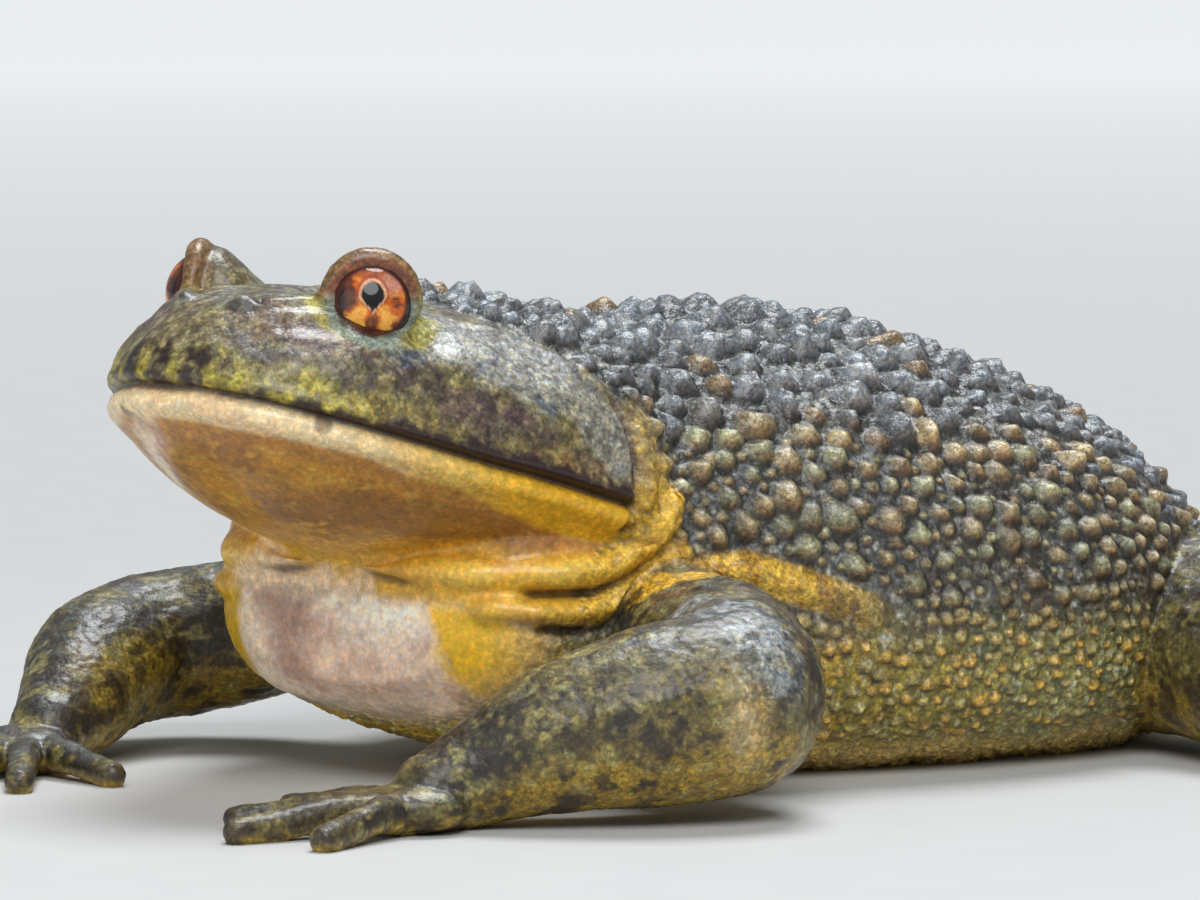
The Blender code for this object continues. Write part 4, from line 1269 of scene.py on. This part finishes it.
class Graph:
    """A short way to add and join shader nodes."""

    def __init__(self, name):
        self.material = bpy.data.materials.new(name)
        self.material.use_nodes = True
        self.tree = self.material.node_tree
        self.shader = self.tree.nodes["Principled BSDF"]

    def add(self, kind, settings=None, **inputs):
        node = self.tree.nodes.new(kind)
        for key, value in (settings or {}).items():
            setattr(node, key, value)
        for key, value in inputs.items():
            self.join(value, node.inputs[key.replace("_", " ")])
        return node

    def attribute(self, name, output):
        return self.add("ShaderNodeAttribute", {"attribute_name": name}).outputs[output]

    def join(self, value, socket):
        if hasattr(value, "is_output"):
            self.tree.links.new(value, socket)
        else:
            socket.default_value = value

    def maths(self, operation, first, second=0.0, third=None):
        node = self.tree.nodes.new("ShaderNodeMath")
        node.operation = operation
        self.join(first, node.inputs[0])
        self.join(second, node.inputs[1])
        if third is not None:
            self.join(third, node.inputs[2])
        return node.outputs[0]

    def blend(self, kind, share, first, second):
        node = self.tree.nodes.new("ShaderNodeMix")
        node.data_type = "RGBA"
        node.blend_type = kind
        self.join(share, node.inputs[0])
        self.join(first, node.inputs[6])
        self.join(second, node.inputs[7])
        return node.outputs[2]


def skin_material():
    """Grained wet skin: its colour, gloss, grain and flecks come from attributes of the mesh."""
    graph = Graph("frog_skin")
    place = graph.add("ShaderNodeTexCoord").outputs["Object"]
    base = graph.attribute("Skin", "Color")
    wet_sheen = graph.attribute("Wet", "Fac")
    coarse = graph.add("ShaderNodeTexVoronoi", Vector=place, Scale=GRAIN_SCALE)
    fine = graph.add("ShaderNodeTexVoronoi", Vector=place, Scale=FINE_SCALE)
    mottle = graph.add("ShaderNodeTexNoise", Vector=place, Scale=MOTTLE_SCALE, Detail=5.0, Roughness=0.7)
    luck = graph.add("ShaderNodeSeparateColor", Color=coarse.outputs["Color"])
    bright = graph.maths("MULTIPLY_ADD", luck.outputs["Red"], 0.7, 0.65)
    shade = graph.maths("MULTIPLY_ADD", coarse.outputs["Distance"], -0.4, 1.16)
    patch = graph.maths("MULTIPLY_ADD", mottle.outputs["Fac"], 3.0, -0.5)
    patch = graph.maths("MAXIMUM", patch, 0.25)
    level = graph.maths("MULTIPLY", graph.maths("MULTIPLY", bright, shade), patch)
    fleck = graph.attribute("Fleck", "Fac")
    level = graph.maths("MULTIPLY_ADD", graph.maths("SUBTRACT", level, 1.0), fleck, 1.0)
    tinted = graph.blend("MIX", luck.outputs["Green"], WARM_TINT, COOL_TINT)
    graph.join(
        graph.blend("MULTIPLY", 1.0, graph.blend("MULTIPLY", 1.0, base, level), tinted),
        graph.shader.inputs["Base Color"],
    )
    height = graph.maths("MULTIPLY", coarse.outputs["Distance"], -1.0)
    height = graph.maths("MULTIPLY_ADD", fine.outputs["Distance"], -0.35, height)
    height = graph.maths("MULTIPLY_ADD", mottle.outputs["Fac"], 0.5, height)
    depth = graph.attribute("Grain", "Fac")
    bump = graph.add("ShaderNodeBump", Height=height, Strength=depth, Distance=GRAIN_DEPTH)
    graph.join(bump.outputs["Normal"], graph.shader.inputs["Normal"])
    film = graph.add("ShaderNodeBump", Height=mottle.outputs["Fac"], Strength=depth, Distance=FILM_DEPTH)
    graph.join(film.outputs["Normal"], graph.shader.inputs["Coat Normal"])
    rough = graph.maths("MULTIPLY_ADD", mottle.outputs["Fac"], 0.3, 0.42)
    graph.join(graph.maths("MULTIPLY_ADD", wet_sheen, -0.25, rough), graph.shader.inputs["Roughness"])
    graph.shader.inputs["Coat Weight"].default_value = 0.35
    graph.shader.inputs["Coat Roughness"].default_value = 0.16
    return graph.material


def eye_material():
    """Iris and pupil from an attribute, under a clear wet coat."""
    graph = Graph("frog_eye")
    base = graph.attribute("Iris", "Color")
    place = graph.add("ShaderNodeTexCoord").outputs["Object"]
    flecks = graph.add("ShaderNodeTexNoise", Vector=place, Scale=1500.0, Detail=4.0)
    amount = graph.maths("MULTIPLY_ADD", flecks.outputs["Fac"], 0.9, 0.55)
    graph.join(graph.blend("MULTIPLY", 1.0, base, amount), graph.shader.inputs["Base Color"])
    graph.shader.inputs["Roughness"].default_value = 0.6
    graph.shader.inputs["Specular IOR Level"].default_value = 0.2
    graph.shader.inputs["Coat Weight"].default_value = 0.8
    graph.shader.inputs["Coat Roughness"].default_value = 0.03
    graph.shader.inputs["Coat IOR"].default_value = 1.4
    return graph.material


# Eyes: the iris, and the pupil's middle, half width and height, and how pointed it is below
IRIS_RADIUS = 5.9
PUPIL_CENTRE = (0.0, 0.8)
PUPIL_HALF = (1.8, 2.35)
PUPIL_POINT = 0.75
REAR_NARROWING = 0.3


def iris_colours(right, up, depth):
    """The colour at each place of the eye's face: rearwards and up in millimetres from its middle."""
    flat = np.stack([right, up, np.zeros(len(right))], axis=1)
    away = np.hypot(right, up)
    spin = np.arctan2(up, right)
    rays = noise(np.stack([np.cos(spin) * 9, np.sin(spin) * 9, away * 0.8], axis=1), 1.0, 31, 2)
    cloud = noise(flat, 2.0, 32, 3)
    across = (right - PUPIL_CENTRE[0]) / PUPIL_HALF[0]
    rise = (up - PUPIL_CENTRE[1]) / PUPIL_HALF[1]
    narrow = 1.0 - PUPIL_POINT * np.clip(-rise, 0, 1.2) ** 1.5
    pupil = np.hypot(across / np.maximum(narrow, 0.12), rise)
    outside = np.clip(smooth(IRIS_RADIUS - 0.1, IRIS_RADIUS + 0.5, away) + (depth < 0), 0, 1)
    colour = layered(
        srgb(204, 98, 24),
        ((238, 172, 70), smooth(0, 0.7, cloud + 0.4 * rays - 0.10 * up)),
        ((104, 52, 28), smooth(0, 0.7, -cloud + 0.5 * rays - 0.07 * right)),
        ((168, 132, 126), 0.6 * smooth(3, 1, np.hypot(right - 3.4, up - 3.2))),
        ((70, 46, 38), 0.8 * smooth(2.9, 1, np.hypot(right + 4.3, up - 0.6))),
        ((24, 22, 26), smooth(-4.2, -5, right)),
        # Painted shade: the iris darkens towards its top, the shadow of the upper lid
        ((96, 44, 30), 0.6 * smooth(2.6, 5.2, up)),
        ((70, 26, 16), smooth(IRIS_RADIUS - 0.7, IRIS_RADIUS - 0.2, away)),
        ((150, 62, 44), 0.8 * smooth(1.62, 1.45, pupil)),
        ((226, 176, 136), 0.85 * smooth(1.34, 1.24, pupil)),
        ((10, 9, 10), smooth(1.12, 1, pupil)),
        ((22, 16, 16), outside),
        ((214, 152, 86), smooth(3, 2.5, depth) * smooth(1, 1.5, depth)),
        ((116, 60, 32), smooth(1.3, 0.9, depth)),
    )
    return np.clip(colour, 0.002, 1.0)


def eye(side, word):
    _, centre, gaze = eye_parts(side)
    bm = bmesh.new()
    bmesh.ops.create_icosphere(bm, subdivisions=EYE_SUBDIVISIONS, radius=EYE_RADIUS)
    obj = from_bmesh(bm, f"eyeball_{word}")
    points = read_points(obj.data)
    across = np.array(Vector((0.0, 0.0, 1.0)).cross(gaze).normalized())
    above = np.array(gaze.cross(Vector(across)))
    gaze = np.array(gaze)
    ahead = points @ gaze
    set_attribute(obj.data, "Iris", iris_colours(side * (points @ across), points @ above, ahead))
    back = np.clip(-ahead / EYE_RADIUS, 0, 1)
    flat = points - ahead[:, None] * gaze
    ahead = np.where(ahead < 0, ahead * EYE_BACK, ahead)
    points = flat * (1 - REAR_NARROWING * back)[:, None] + ahead[:, None] * gaze
    write_points(obj.data, placed(points + np.array(centre)))
    obj.data.shade_smooth()
    obj.data.materials.append(eye_material())
    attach(obj, "root")
    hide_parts(f"eye_{word}")


# Camera
CAMERA_TURN = math.radians(57.4)
CAMERA_RISE = math.radians(4.71)
CAMERA_DISTANCE = 1343.0
CAMERA_AIM = (0.0, 90.0, 50.0)
CAMERA_OFFSET = (12.0, 4.0)
CAMERA_LENS = 233.52
SENSOR_WIDTH = 36.0
CLIP_NEAR = 0.05
CLIP_FAR = 50.0

# Light: the sky as a broad sun, two lamps as (name, place, size, power, colour), and the surroundings
SUN_ENERGY = 2.6
SUN_ANGLE = math.radians(28.0)
SUN_COLOUR = (0.93, 0.97, 1.0)
SUN_DIRECTION = (0.25, -0.3, -1.0)
LAMPS = (
    ("key", (1.15, -0.68, 1.35), 1.1, 23.0, (0.97, 0.98, 1.0)),
    ("fill", (0.1, -1.6, 0.35), 1.4, 5.0, (1.0, 0.97, 0.93)),
)
LAMP_AIM = (0.0, 0.0, 0.05)
WORLD_COLOUR = (0.82, 0.87, 0.92, 1.0)
WORLD_STRENGTH = 0.3

# Floor: half its side, two tones near the frog and one far off, and from and to which distance they change
FLOOR_HALF = 12.0
FLOOR_NEAR = ((0.50, 0.50, 0.49, 1.0), (0.54, 0.54, 0.53, 1.0))
FLOOR_FAR = (0.86, 0.86, 0.85, 1.0)
FLOOR_CHANGE = (0.4, 3.5)


def camera():
    back = direction(CAMERA_TURN, CAMERA_RISE)
    right = Vector((math.cos(CAMERA_TURN), math.sin(CAMERA_TURN), 0.0))
    up = back.cross(right)
    aim = Vector(CAMERA_AIM) + Vector(SHIFT) + right * CAMERA_OFFSET[0] + up * CAMERA_OFFSET[1]
    data = bpy.data.cameras.new("camera")
    data.lens = CAMERA_LENS
    data.sensor_width = SENSOR_WIDTH
    data.clip_start = CLIP_NEAR
    data.clip_end = CLIP_FAR
    obj = link(data, "camera")
    turn = Matrix((right, up, back)).transposed().to_4x4()
    obj.matrix_world = Matrix.Translation((aim + back * CAMERA_DISTANCE) * MM) @ turn
    bpy.context.scene.camera = obj


def facing(way):
    """The rotation that points a lamp that way."""
    return Vector(way).to_track_quat("-Z", "Y").to_euler()


def studio():
    sun = link(bpy.data.lights.new("sky", "SUN"), "sky")
    sun.data.energy = SUN_ENERGY
    sun.data.angle = SUN_ANGLE
    sun.data.color = SUN_COLOUR
    sun.rotation_euler = facing(SUN_DIRECTION)
    for name, place, size, power, colour in LAMPS:
        lamp = link(bpy.data.lights.new(name, "AREA"), name)
        lamp.data.shape = "DISK"
        lamp.data.size = size
        lamp.data.energy = power
        lamp.data.color = colour
        lamp.location = place
        lamp.rotation_euler = facing(Vector(LAMP_AIM) - Vector(place))
    world = bpy.data.worlds.new("studio")
    world.use_nodes = True
    background = world.node_tree.nodes["Background"]
    background.inputs["Color"].default_value = WORLD_COLOUR
    background.inputs["Strength"].default_value = WORLD_STRENGTH
    bpy.context.scene.world = world
    bpy.context.scene.view_settings.view_transform = "Standard"


def floor():
    bm = bmesh.new()
    bmesh.ops.create_grid(bm, x_segments=1, y_segments=1, size=FLOOR_HALF)
    obj = from_bmesh(bm, "floor")
    graph = Graph("pale_floor")
    place = graph.add("ShaderNodeTexCoord").outputs["Object"]
    grain = graph.add("ShaderNodeTexNoise", Vector=place, Scale=60.0, Detail=3.0)
    near = graph.blend("MIX", grain.outputs["Fac"], *FLOOR_NEAR)
    away = graph.add("ShaderNodeVectorMath", {"operation": "LENGTH"}, Vector=place).outputs["Value"]
    start, end = FLOOR_CHANGE
    share = graph.add("ShaderNodeMapRange", Value=away, From_Min=start, From_Max=end).outputs["Result"]
    graph.join(graph.blend("MIX", share, near, FLOOR_FAR), graph.shader.inputs["Base Color"])
    graph.shader.inputs["Roughness"].default_value = 0.7
    obj.data.materials.append(graph.material)


skin()
eye(1, "left")
eye(-1, "right")
camera()
studio()
floor()

bpy.context.view_layer.update()
